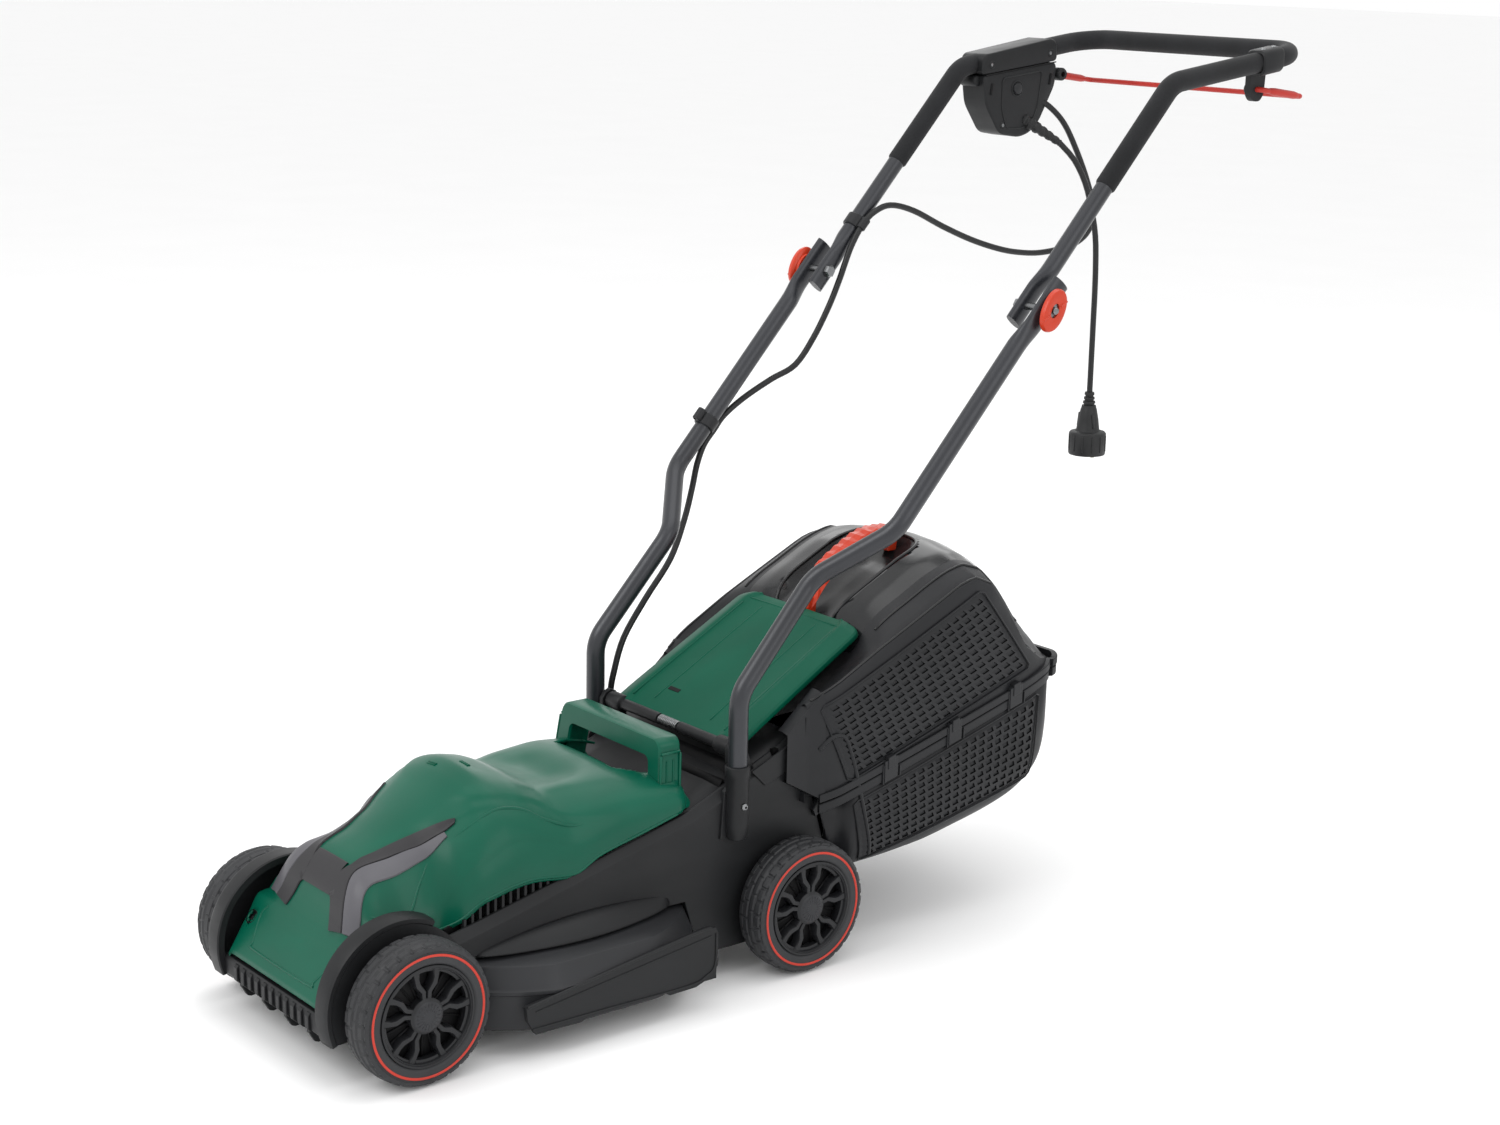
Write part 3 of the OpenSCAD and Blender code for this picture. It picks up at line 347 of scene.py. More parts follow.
class Shape:
    """Collects points and faces of several closed solids into one mesh."""

    def __init__(self):
        self.points, self.faces, self.marks = [], [], []

    def add(self, points, faces, mark=0):
        start = len(self.points)
        self.points.extend([tuple(map(float, p)) for p in points])
        self.faces.extend([tuple(start + i for i in f) for f in faces])
        self.marks.extend([mark] * len(faces))
        return self

    def prism(self, outline, depth, place, mark=0, taper=0.0):
        """A 2D outline pushed along depth. place(u, v, w) gives the point."""
        n = len(outline)
        middle = np.mean(np.array(outline, float), axis=0)
        top = [middle + (np.array(p) - middle) * (1 - taper) for p in outline]
        points = [place(u, v, depth[0]) for u, v in outline] + [place(u, v, depth[1]) for u, v in top]
        faces = [tuple(range(n))[::-1], tuple(range(n, 2 * n))]
        faces += [(i, (i + 1) % n, n + (i + 1) % n, n + i) for i in range(n)]
        return self.add(points, faces, mark)

    def box(self, low, high, mark=0):
        (a, b, c), (d, e, f) = low, high
        outline = [(a, b), (d, b), (d, e), (a, e)]
        return self.prism(outline, (c, f), lambda u, v, w: (u, v, w), mark)

    def sweep(self, path, radii, sides=16, mark=0, closed=False, round_ends=True, flat=None):
        """A round bar along path. radii is one number or one for each point."""
        path = [Vector(p) for p in path]
        radii = [radii] * len(path) if isinstance(radii, (int, float)) else list(radii)
        if round_ends and not closed:
            first, last = (path[0] - path[1]).normalized(), (path[-1] - path[-2]).normalized()
            a, b = radii[0], radii[-1]
            path = [path[0] + first * a * 0.35, path[0] + first * a * 0.25] + path[0:] \
                + [path[-1] + last * b * 0.25, path[-1] + last * b * 0.35]
            radii = [a * 0.55, a * 0.85] + radii + [b * 0.85, b * 0.55]
        normal = None
        points = []
        m = len(path)
        for i in range(m):
            ahead = path[(i + 1) % m] if closed else path[min(i + 1, m - 1)]
            behind = path[i - 1] if closed or i > 0 else path[0]
            t = (ahead - behind).normalized()
            if normal is None:
                normal = Vector((1, 0, 0)) if abs(t.x) < 0.9 else Vector((0, 1, 0))
            normal = (normal - t * normal.dot(t)).normalized()
            other = t.cross(normal)
            for j in range(sides):
                a = 2 * math.pi * j / sides
                c, s = math.cos(a), math.sin(a)
                if flat:
                    s *= flat
                points.append(path[i] + (normal * c + other * s) * radii[i])
        faces = []
        for i in range(m if closed else m - 1):
            k = (i + 1) % m
            faces += [(i * sides + j, i * sides + (j + 1) % sides, k * sides + (j + 1) % sides, k * sides + j)
                      for j in range(sides)]
        if not closed:
            faces += [tuple(range(sides))[::-1], tuple((m - 1) * sides + j for j in range(sides))]
        return self.add(points, faces, mark)

    def lathe(self, profile, place, steps=48, mark=0, closed=True):
        """A profile of (radius, along) turned about an axis. place(radius, angle, along) gives the point."""
        n = len(profile)
        points = [place(r, 2 * math.pi * i / steps, a) for i in range(steps) for r, a in profile]
        faces = []
        for i in range(steps):
            k = (i + 1) % steps
            for j in range(n if closed else n - 1):
                l = (j + 1) % n
                faces.append((i * n + j, i * n + l, k * n + l, k * n + j))
        return self.add(points, faces, mark)

    def grid(self, rows, mark=0, closed=False):
        """A sheet through rows of points."""
        m, n = len(rows), len(rows[0])
        faces = [(i * n + j, i * n + j + 1, (i + 1) * n + j + 1, (i + 1) * n + j)
                 for i in range(m - 1) for j in range(n - 1)]
        if closed:
            faces += [((m - 1) * n + j, (m - 1) * n + j + 1, j + 1, j) for j in range(n - 1)]
        return self.add([p for row in rows for p in row], faces, mark)

    def rings(self, rows, caps=False):
        """A skin through closed rings of points, with flat ends where caps is set."""
        self.grid([list(row) + [row[0]] for row in rows])
        if caps:
            for row in (rows[0], rows[-1]):
                self.add(row, [tuple(range(len(row)))])
        return self

    def without(self, test):
        """Drops every face whose middle passes the test."""
        kept = [(face, mark) for face, mark in zip(self.faces, self.marks)
                if not test(*np.mean([self.points[i] for i in face], axis=0))]
        self.faces, self.marks = [face for face, _ in kept], [mark for _, mark in kept]
        return self

    def mirrored(self):
        """Adds the same solids on the other side of the middle."""
        n = len(self.points)
        self.points.extend([(-x, y, z) for x, y, z in self.points])
        self.faces.extend([tuple(i + n for i in f)[::-1] for f in self.faces])
        self.marks.extend(self.marks)
        return self

    def piece(self, name, looks, body, slot=None, for_nodes=(), **more):
        return make(name, self.points, self.faces, looks, body, slot, for_nodes, marks=self.marks, **more)


def sideways(u, v, w):
    """Place of a prism whose outline is (y, z) and whose depth runs along x."""
    return (w, u, v)


def about_x(y, z, x=0.0, s=1):
    """Place of a lathe that turns about a line along x, measured outward from x on side s."""
    return lambda r, a, d: (s * (x + d), y + r * math.cos(a), z + r * math.sin(a))


def about_z(x, y, z=0.0):
    """Place of a lathe that turns about an upright line."""
    return lambda r, a, d: (x + r * math.cos(a), y + r * math.sin(a), z + d)


def pchip(table, x):
    """Value of a table of (key, value) rows at x, smooth between the rows and never beyond them."""
    xs, ys = np.array([p[0] for p in table], float), np.array([p[1] for p in table], float)
    h, d = np.diff(xs), np.diff(ys) / np.diff(xs)
    m = np.zeros(len(xs))
    for i in range(1, len(xs) - 1):
        if d[i - 1] * d[i] > 0:
            w1, w2 = 2 * h[i] + h[i - 1], h[i] + 2 * h[i - 1]
            m[i] = (w1 + w2) / (w1 / d[i - 1] + w2 / d[i])
    m[0], m[-1] = d[0], d[-1]
    x = np.clip(np.asarray(x, float), xs[0], xs[-1])
    i = np.clip(np.searchsorted(xs, x, side="right") - 1, 0, len(h) - 1)
    t = (x - xs[i]) / h[i]
    return ((1 + 2 * t) * (1 - t) ** 2 * ys[i] + t * (1 - t) ** 2 * h[i] * m[i]
            + t * t * (3 - 2 * t) * ys[i + 1] + t * t * (t - 1) * h[i] * m[i + 1])


def curve(points, n):
    """Catmull-Rom curve through points, n steps a stretch."""
    p = [np.array(v, float) for v in points]
    out = []
    for i in range(len(p) - 1):
        a, b, c, d = p[max(i - 1, 0)], p[i], p[i + 1], p[min(i + 2, len(p) - 1)]
        for k in range(n):
            t = k / n
            out.append(0.5 * (2 * b + (c - a) * t + (2 * a - 5 * b + 4 * c - d) * t * t
                              + (3 * b - a - 3 * c + d) * t ** 3))
    return out + [p[-1]]


def bend(points, radius, n=8):
    """A route of straight stretches with rounded corners."""
    p = [np.array(v, float) for v in points]
    out = [p[0]]
    for a, b, c in zip(p, p[1:], p[2:]):
        u, w = (a - b) / np.linalg.norm(a - b), (c - b) / np.linalg.norm(c - b)
        half = math.acos(max(-1, min(1, float(u @ w)))) / 2
        start, stop = b + u * radius / math.tan(half), b + w * radius / math.tan(half)
        middle = b + (u + w) / np.linalg.norm(u + w) * radius / math.sin(half)
        for k in range(n + 1):
            v = start + (stop - start) * k / n - middle
            out.append(middle + v / np.linalg.norm(v) * radius)
    return out + [p[-1]]


def step(x, a, b):
    """Smooth step from 0 at a to 1 at b."""
    t = np.clip((np.asarray(x, float) - a) / (b - a), 0, 1)
    return t * t * (3 - 2 * t)


# ---------------------------------------------------------------- free lead

LEAD = curve([
    (-120, 823, 805), (-112, 841, 785), (-107, 856, 758), (-104, 866, 727), (-102, 873, 694),
    (-102, 876, 660), (-102, 877, 626), (-102, 877, 592), (-102, 877, 558), (-102, 877, 530),
    (-102, 877, 505)], 3)
lead = Shape().sweep(LEAD, 3.5, 20, round_ends=False).piece(
    "free_lead", CABLE, "upper_handle", "cable_pvc", ["power_lead"])

PX, PY, PZ = LEAD[-1]
around = about_z(PX, PY, PZ)
plug = Shape()
plug.lathe([(3.4, 0), (5.6, -0.5), (6, -2), (6, -4), (4.9, -4.4), (4.9, -6), (6.4, -6.4), (6.7, -9),
            (5.6, -9.5), (5.6, -11), (7.3, -11.5), (7.7, -14), (6.5, -14.5), (6.5, -16), (8.6, -16.6),
            (9.2, -20), (9.8, -21), (12.4, -34), (14, -46), (15.5, -48), (21, -49.2), (22.5, -51),
            (22.5, -75.6), (21.8, -77), (20, -77), (19.5, -76), (19.5, -61), (0.5, -61), (0.5, -2),
            (3.3, -2)], around, 40)
for a in range(0, 360, 30):
    plug.sweep([around(22.4, math.radians(a), -53), around(22.4, math.radians(a), -72)], 1.0, 8)
for s in (-1, 1):
    plug.sweep([(PX + s * 11, PY - 4, PZ - 27), (PX + s * 13, PY - 4, PZ - 43)], 1.6, 8)
plug = plug.piece("lead_plug", PLUG, "upper_handle", "plug_rubber", ["plug_body"], smooth=40)

# ---------------------------------------------------------------- hood

CROWN = [(-300, 67), (-281, 95), (-264, 117), (-257, 132), (-250, 152), (-241, 168), (-231, 177), (-215, 184),
         (-196, 192), (-180, 201), (-160, 213), (-135, 228), (-115, 241), (-98, 247), (-75, 243), (-30, 227),
         (0, 228), (40, 228), (80, 222), (118, 212)]
EDGE = [(-300, 62), (-281, 90), (-262, 119), (-240, 121), (-200, 119), (-175, 119), (-130, 145), (-80, 153),
        (-31, 148), (0, 161), (50, 173), (118, 190)]
HALF = [(-300, 90), (-262, 94), (-175, 95), (-150, 108), (-120, 112), (96, 112), (108, 107), (118, 92)]
POWER = [(-300, 9), (-262, 8), (-250, 4.4), (-230, 2.9), (-200, 2.2), (-110, 2.2), (-60, 2.4), (118, 3.2)]


def hood_z(x, y):
    """Height of the hood's outer face."""
    w, low, crown, n = (pchip(t, y) for t in (HALF, EDGE, CROWN, POWER))
    f = np.clip(np.abs(x) / w, 0, 1)
    z = low + (crown - low) * (1 - f ** n) ** (1 / n)
    # saddle between the dome and the carrying handle, and the raised shoulders beside it
    z = z - 9 * np.exp(-((y + 8) / 30) ** 2) * np.exp(-(np.abs(x) / 46) ** 4)
    # lower side face set in under a sweeping crease, and the step above it
    arch = pchip([(-215, 108), (-190, 118), (-160, 158), (-125, 186), (-90, 198), (-50, 190), (-15, 176),
                  (20, 178), (118, 184)], y)
    inset = step(arch - z, -1, 1.5) * step(y, -205, -170) * (1 - step(y, 5, 40))
    crest = pchip([(-240, 190), (-200, 205), (-150, 222), (-100, 231), (-60, 222), (-20, 201), (20, 196),
                   (118, 196)], y)
    ledge = step(crest - z, -1, 2) * step(y, -215, -150) * (1 - step(y, -10, 30))
    # flat middle band between the two trim wings
    band = step(31 + (y + 230) * 0.36 - np.abs(x), -1.5, 1.5) * step(y, -236, -218) * (1 - step(y, -130, -70))
    z = z - 2.6 * inset * step(f, 0.5, 0.7) - 2.2 * ledge * step(f, 0.35, 0.6) + 1.8 * band
    # the front falls off sideways under the light trim
    fall = step(np.abs(x), 58, 84) * step(y, -268, -252) * (1 - step(y, -190, -150))
    return np.maximum(z - 15 * fall, low)


def hood_point(x, y, lift=0.0):
    """A point lifted off the hood along its normal."""
    e = 0.6
    z = float(hood_z(x, y))
    dx = float(hood_z(x + e, y) - hood_z(x - e, y)) / (2 * e)
    dy = float(hood_z(x, y + e) - hood_z(x, y - e)) / (2 * e)
    n = np.array((-dx, -dy, 1.0))
    return np.array((x, y, z)) + n / np.linalg.norm(n) * lift


def hood_sheet():
    """Rows of points across the hood, closer together at the front and the sides."""
    ys = np.concatenate([np.arange(-300, -264, 3.0), np.arange(-264, -228, 1.5), np.arange(-228, 118, 3.0),
                         [118.0]])
    cs = np.sin(np.linspace(-1, 1, 121) * math.pi / 2)
    rows = []
    for y in ys:
        w = float(pchip(HALF, y))
        xs = cs * w
        zs = hood_z(xs, np.full_like(xs, y))
        rows.append([(x, y, z) for x, z in zip(xs, zs)])
    return rows


sheet = Shape().grid(hood_sheet())


def hood_gap(x, y, z):
    """Opening under the carrying handle, and the two panel screw holes."""
    opening = abs(x) < 66 - max(0, 84 - y) * 0.6 and y > 58
    hole = ((abs(x) - 84) / 5.5) ** 2 + ((y + 277) / 4.0) ** 2 < 1
    return opening or hole


sheet.without(hood_gap)
sheet.piece("hood", GREEN, "deck", "green_plastic", ["motor_cover"], smooth=50, solid=2.5)

# rolled lip along the hood's lower edge, and the raised frame at the front
rim = Shape()
for s in (-1, 1):
    line = [(s * (float(pchip(HALF, y)) - 0.6), y, float(pchip(EDGE, y)) + 1.0)
            for y in np.arange(-178, 96, 4)]
    rim.sweep(line, 1.5, 8)
frame_line = []
for x, y in [(-66, -268), (-72, -273), (-60, -289), (-52, -292), (52, -292), (60, -289), (72, -273),
             (66, -268)]:
    frame_line.append(hood_point(x, y, -0.4))
rim.sweep(curve(frame_line, 5), 1.3, 8)
rim.piece("hood_lips", GREEN, "deck", "green_plastic", smooth=60)

# rounded ridges that sweep back over the shoulders
crease = Shape()
for s in (-1, 1):
    for line in ([(74, -150), (78, -128), (80, -100), (84, -74), (92, -50), (100, -20), (103, 10)],
                 [(72, -248), (84, -236), (88, -218), (85, -200), (76, -185), (69, -169)]):
        pts = curve([hood_point(s * x, y, -0.9) for x, y in line], 8)
        crease.sweep(pts, [0.3 + 1.7 * math.sin(math.pi * k / (len(pts) - 1)) ** 0.5
                           for k in range(len(pts))], 8)
crease.piece("hood_creases", GREEN, "deck", "green_plastic", smooth=60)

# small slots on the dome
dome = Shape()
for x, y in ((-16, -112), (12, -92)):
    for k in (-1, 1):
        a, b = hood_point(x - 7, y + k, 0.1), hood_point(x + 7, y + k, 0.1)
        dome.sweep([a, b], 1.1, 8)
dome.piece("hood_slots", FLAP_GREEN, "deck", "green_plastic")

# oval wells of the two panel screws, their walls in near-black painted shade
wells = Shape()
for s in (-1, 1):
    c = hood_point(s * 84, -277, -0.2)
    n = hood_point(s * 84, -277, 0.8) - c
    u, v = np.array((1.0, 0, 0)), np.cross(n, (1.0, 0, 0))
    ring = lambda r, a, d: c + u * r * 1.15 * math.cos(a) + v * r * math.sin(a) + n * d
    wells.lathe([(6.4, 0.4), (6.8, -0.4), (5.2, -5.5), (0.3, -5.5), (0.3, -6.5), (7.6, -3), (7.4, 0.1)], ring,
                28, 0)
    wells.lathe([(0.2, -3.4), (2.4, -3.6), (3.2, -4.4), (3.2, -5.6), (0.2, -5.6)], ring, 20, 1)
wells.piece("panel_screws", [RECESS_SHADE, ZINC], "deck", "zinc_steel", ["deck_screws"])


def ribbon(name, look, slot, outlines, lift, nodes, edge=0.8):
    """A raised strip that follows the hood between two lines of (x, y) points."""
    strip = Shape()
    for inner, outer in outlines:
        a, b = curve([(*p, 0) for p in inner], 10), curve([(*p, 0) for p in outer], 10)
        for s in (-1, 1):
            tops = []
            for p, q in zip(a, b):
                row = []
                for k, up_by in ((0, -2.0), (0, lift - edge), (0.04, lift), (0.35, lift), (0.65, lift),
                                 (0.96, lift), (1, lift - edge), (1, -2.0)):
                    m = p + (q - p) * k
                    row.append(hood_point(s * m[0], m[1], up_by))
                tops.append(row)
            strip.grid(tops)
            for row in (tops[0], tops[-1]):
                strip.add(row, [tuple(range(len(row)))])
    return strip.piece(name, look, "deck", slot, nodes, smooth=40)


LEG_IN = [(41, -261.5), (35, -256.5), (29.5, -252.2), (25, -249.5), (25, -240), (30, -231)]
LEG_OUT = [(62, -259.5), (57, -255), (51.5, -249.8), (46.5, -243.8), (43, -238), (42, -231)]
WING_IN = [(30, -231), (33.5, -213), (36, -197), (40.5, -183), (45.5, -169), (52, -157), (58, -146),
           (64, -136)]
WING_OUT = [(42, -231), (44.8, -213), (48, -197), (51, -187), (56.5, -171), (60.5, -160), (65, -149),
            (66.5, -138)]
ribbon("trim_dark", TRIM, "grey_trim", [(LEG_IN, LEG_OUT), (WING_IN, WING_OUT)], 2.2, ["cover_trim"])
ribbon("trim_light", INLAY, "light_trim", [
    ([(62.3, -259.5), (57.3, -255), (51.8, -249.8), (46.8, -243.8), (43.3, -238), (42.3, -231), (45.1, -213),
      (50.3, -189), (58.3, -166), (65.5, -149)],
     [(84, -254), (79, -249.5), (72.2, -244), (67.5, -238), (65.3, -230), (64.8, -214), (64.8, -195),
      (66, -176), (69, -162), (70.5, -149)])], 1.7, ["trim_inlays"])
bar = Shape()
top, low = [], []
for k in range(13):
    x = -26 + 52 * k / 12
    row = []
    for y, lift in ((-250.8, -2), (-250.8, 1.6), (-250, 2.2), (-246, 2.2), (-241, 2.2), (-236, 2.2),
                    (-231.5, 2.2), (-230.6, 1.6), (-230.6, -2)):
        row.append(hood_point(x, y, lift))
    top.append(row)
bar.grid(top)
bar.piece("trim_bar", TRIM, "deck", "grey_trim", smooth=40)

# carrying handle: a staple-shaped arch with rounded corners and ribbed end pockets


def arch_place(u, v, w):
    """u across, v up, w back along the leaning handle."""
    return (u, 84 + w + (v - 190) * 0.10, v)


handle = Shape()
outer = bend([(-94, 188, 0), (-85, 255, 0), (85, 255, 0), (94, 188, 0)], 11, 6)
inner = bend([(-73, 188, 0), (-67, 235, 0), (67, 235, 0), (73, 188, 0)], 8, 6)
outer, inner = [p[:2] for p in outer], [p[:2] for p in inner]
n = len(outer)
levels = [(0, 1.0), (2.2, 0.0), (24.8, 0.0), (27, 1.0)]
rows = []
middle = np.array((0, 215))
for w, cut in levels:
    o = [np.array(p) + (middle - p) / np.linalg.norm(middle - p) * 2.0 * cut for p in outer]
    i = [np.array(p) - (middle - p) / np.linalg.norm(middle - p) * 2.0 * cut for p in inner]
    rows.append([arch_place(*p, w) for p in o] + [arch_place(*p, w) for p in i[::-1]])
handle.rings(rows)
for r in (rows[0], rows[-1]):
    handle.add(r, [(k, k + 1, 2 * n - 2 - k, 2 * n - 1 - k) for k in range(n - 1)])
for s in (-1, 1):
    # frame and ribs of the end pocket
    for w in (1.5, 9.5, 17.5, 25.5):
        top_z, r = (239, 1.5) if w in (1.5, 25.5) else (233, 1.0)
        handle.sweep([arch_place(s * 93.2, 196, w), arch_place(s * 88.2, top_z, w)], r, 8)
    handle.sweep([arch_place(s * 88, 241, 2.5), arch_place(s * 88, 241, 24.5)], 1.5, 8)
    # foot that flows into the hood
    foot = []
    for k in range(9):
        t = k / 8
        z = 186 + 26 * t
        half = 8 + 12 * (1 - t) ** 2
        c = s * (90 - 4 * t)
        foot.append([(c + dx * half * 0.8, 98 + dy * (half + 9), z) for dx, dy in
                     [(math.cos(a), math.sin(a)) for a in np.linspace(0, 2 * math.pi, 25)]])
    handle.grid(foot)
handle.piece("carrying_handle", GREEN, "deck", "green_plastic", smooth=40)
screws = Shape()
for s in (-1, 1):
    _, y, z = arch_place(0, 200, 13.5)
    screws.lathe([(0.1, 1.6), (2.0, 1.4), (2.8, 0.4), (2.8, -1.5), (0.1, -1.5)],
                 about_x(y, z, 92.8, s), 16)
screws.piece("handle_end_screws", ZINC, "deck", "zinc_steel")

# ---------------------------------------------------------------- deck

RIDGE = [(-188, 112), (-177, 117), (-100, 134.5), (-20, 153), (60, 172), (110, 184), (165, 207), (214, 228),
         (243, 242)]
DECK_HALF = 118


def side_ring(x, drop):
    """Outline of the deck's side, with its ridge lowered by drop."""
    ridge = [(y, z - drop) for y, z in RIDGE]
    tail = [(243 + 0.31 * (242 - z), z) for z in (205, 170, 135, 100)]
    foot = [(284, 84), (264, 58), (190, 30), (120, 30), (100, 92)]
    return [(x, y, z) for y, z in [(-150, 92), (-188, 92)] + ridge + tail + foot]


walls = Shape()
for s in (-1, 1):
    outer_ring = side_ring(s * DECK_HALF, 9)
    top_ring = side_ring(s * (DECK_HALF - 8), 0)
    inner_ring = side_ring(s * (DECK_HALF - 11), 0)
    n = len(outer_ring)
    pts = outer_ring + top_ring + inner_ring
    faces = []
    for a, b in ((0, n), (n, 2 * n)):
        faces += [(a + k, a + (k + 1) % n, b + (k + 1) % n, b + k) for k in range(n)]
    faces += [tuple(range(n)), tuple(range(2 * n, 3 * n))]
    walls.add(pts, faces)
walls.piece("deck_sides", BLACK, "deck", "black_plastic", ["deck_shell"], smooth=25, bevel=0.9)

# top of the rear tunnel and its floor
tunnel = Shape()
inside = DECK_HALF - 10
top_line = [(62, 172), (108, 182), (112, 184), (165, 207), (214, 228), (243, 242)]
tunnel.grid([[(x, y, z + (0 if abs(x) > inside - 4 else 1.2)) for x in np.linspace(-inside, inside, 9)]
             for y, z in top_line])
tunnel.piece("tunnel_top", BLACK, "deck", "black_plastic", smooth=25, solid=3)
tunnel = Shape()
tunnel.grid([[(x, y, z) for x in np.linspace(-inside, inside, 5)]
             for y, z in ((120, 32), (150, 33), (206, 101), (284, 101))])
tunnel.piece("tunnel_floor", BLACK, "deck", "black_plastic", smooth=25, solid=3)

# blade housing: stepped skirt round the plan outline, open below
ROTOR_Y, HOUSING_R, HOUSING_HALF = -30, 182, 172


def plan(inset, count=140):
    """Plan outline of the blade housing: a circle cut off at both sides."""
    r, w = HOUSING_R - inset, HOUSING_HALF - inset
    out = []
    for k in range(count):
        a = 2 * math.pi * k / count
        x, y = r * math.cos(a), r * math.sin(a)
        if abs(x) > w:
            x = math.copysign(w, x)
        out.append((x, ROTOR_Y + y))
    return out


LEVELS = [(0.0, 26), (-0.5, 27), (0.4, 60), (-1.2, 61.5), (-1.2, 65), (0.2, 66.2), (1.0, 67.5), (8.2, 84),
          (9.4, 86.2), (11, 87), (24, 89.5), (40, 91.5), (48, 93.5), (56, 94.5)]
housing = Shape()
rows = []
for inset, z in LEVELS:
    rows.append([(x, y, z) for x, y in plan(inset)])
housing.rings(rows)
housing.grid([[(x * k, ROTOR_Y + (y - ROTOR_Y) * k, 94.5 + 0.3) for x, y in plan(56) + plan(56)[:1]]
              for k in (1.0, 0.7, 0.4, 0.13)])
# room for the front tyres
housing.without(lambda x, y, z: abs(x) > 119 and abs(y + AXLE_Y) < 75)
housing.piece("blade_housing", LEDGE, "deck", "black_plastic", smooth=22, solid=3)

# skirt panels on both sides, with a rolled rim and shallow step lines
skirt = Shape()
line = [(-118, 27), (-127, 42), (-129, 56), (-40, 68.5), (86, 86), (96, 84), (99, 78), (99, 44), (92, 34),
        (72, 27), (40, 26.5), (34, 30), (-60, 29), (-66, 26)]
skirt.prism(line, (169, 175), sideways)
for x, r, points in ((174.6, 1.6, [(-127, 56), (-40, 68.5), (60, 82.5), (90, 85.5)]),
                     (175.4, 0.9, [(-122, 33), (-40, 32.5), (60, 31), (84, 36), (95, 46), (96, 78)])):
    skirt.sweep([(x, float(p[0]), float(p[1])) for p in curve(points, 6)], r, 8)
skirt.sweep([(175.2, -118, 50), (175.2, 60, 73), (175.2, 90, 77)], 0.7, 8)
skirt.box((168, 70, 30), (174, 98, 60))
skirt.mirrored().piece("skirt_panels", BLACK, "deck", "black_plastic", smooth=30, bevel=0.7)

# bulge where the housing meets the side wall, drawn as a shallow lens
lens = Shape()
for s in (-1, 1):
    rows = []
    for k in range(25):
        t = k / 24
        y = -150 + 232 * t
        swell = math.sin(math.pi * t) ** 0.7
        rows.append([(s * (117.5 + 26 * swell * u), y, 94 + 13 * swell * math.cos(u * math.pi / 2)
                      + 8 * t * (1 - u))
                     for u in np.linspace(0, 1, 9)])
    lens.grid(rows)
lens.piece("housing_bulge", BLACK, "deck", "black_plastic", smooth=50, solid=2)

# nose under the front panel: ribbed strip, cheeks and comb teeth
nose = Shape()
FRONT = [(-299.5, 62), (-301.5, 58), (-301, 44), (-298, 40), (-292, 40), (-292, 62)]
nose.prism(FRONT, (-100, 100), sideways)
for k in range(11):
    x = -70 + 14 * k
    nose.prism([(-303.8, 57), (-303.8, 44), (-300, 40.5), (-297, 40.5), (-297, 60), (-301.5, 60)],
               (x - 3.4, x + 3.4), sideways)
for x in (-66, -22, 22, 66):
    nose.prism([(-300, 44), (-300, 38), (-294, 28), (-290, 26.5), (-279, 28), (-272, 42)], (x - 2.6, x + 2.6),
               sideways)
for x in np.arange(-90, 91, 15):
    nose.prism([(-298, 42), (-290, 34), (-240, 34), (-240, 42)], (x - 1, x + 1), sideways)
for s in (-1, 1):
    cheek = [(-299, 62), (-281, 91), (-262, 119), (-240, 121), (-175, 118), (-172, 92), (-205, 92),
             (-214, 42), (-296, 42)]
    nose.prism(cheek, (s * 91, s * 94), sideways)
nose.piece("nose", BLACK, "deck", "black_plastic", smooth=30, bevel=0.8)

# bands that hug the front tyres beside the front panel, as (x, height over the radius) round the section
BAND_R = 75.5
BAND = [(95, -3), (95, 3.5), (96.5, 4.6), (113, 4.6), (117, 3), (117, -1), (115, -3)]


def front_arc(x, r, a):
    """Point at radius r round the front axle, from straight ahead at 0 to straight up at a quarter turn."""
    return (x, -AXLE_Y - r * math.cos(a), AXLE_Z + r * math.sin(a))


band = Shape()
for s in (-1, 1):
    rows = []
    for a in np.linspace(math.radians(-22), math.radians(118), 49):
        rows.append([front_arc(s * x, BAND_R + out, a) for x, out in BAND])
    band.rings(rows, caps=True)
    # wheel side wall of the deck, behind the tyre
    disc = [front_arc(s * 116, 74, a) for a in np.linspace(math.radians(-22), math.radians(200), 40)]
    band.add(disc, [tuple(range(len(disc)))])
band.piece("front_bands", BLACK, "deck", "black_plastic", smooth=35)

# louvres under the hood's side arches, with a near-black sheet of painted shade behind them
vents = Shape()
for y in np.arange(-164, -40, 8.6):
    low, top = float(pchip(RIDGE, y)) - 3, float(pchip(EDGE, y)) + 1
    if top - low > 7:
        vents.prism([(y, low), (y + 3.2, low), (y + 3.2, top), (y, top)], (101, 108.6), sideways, 0)
back_wall = [(y, float(pchip(EDGE, y)) + 2) for y in np.arange(-172, -24, 8)]
vents.prism(back_wall + [(-28, 146), (-170, 112)], (98, 100), sideways, 1)
vents.mirrored().piece("side_louvres", [BLACK, RECESS_SHADE], "deck", "black_plastic", ["vent_grilles"], smooth=30,
                       bevel=0.5)

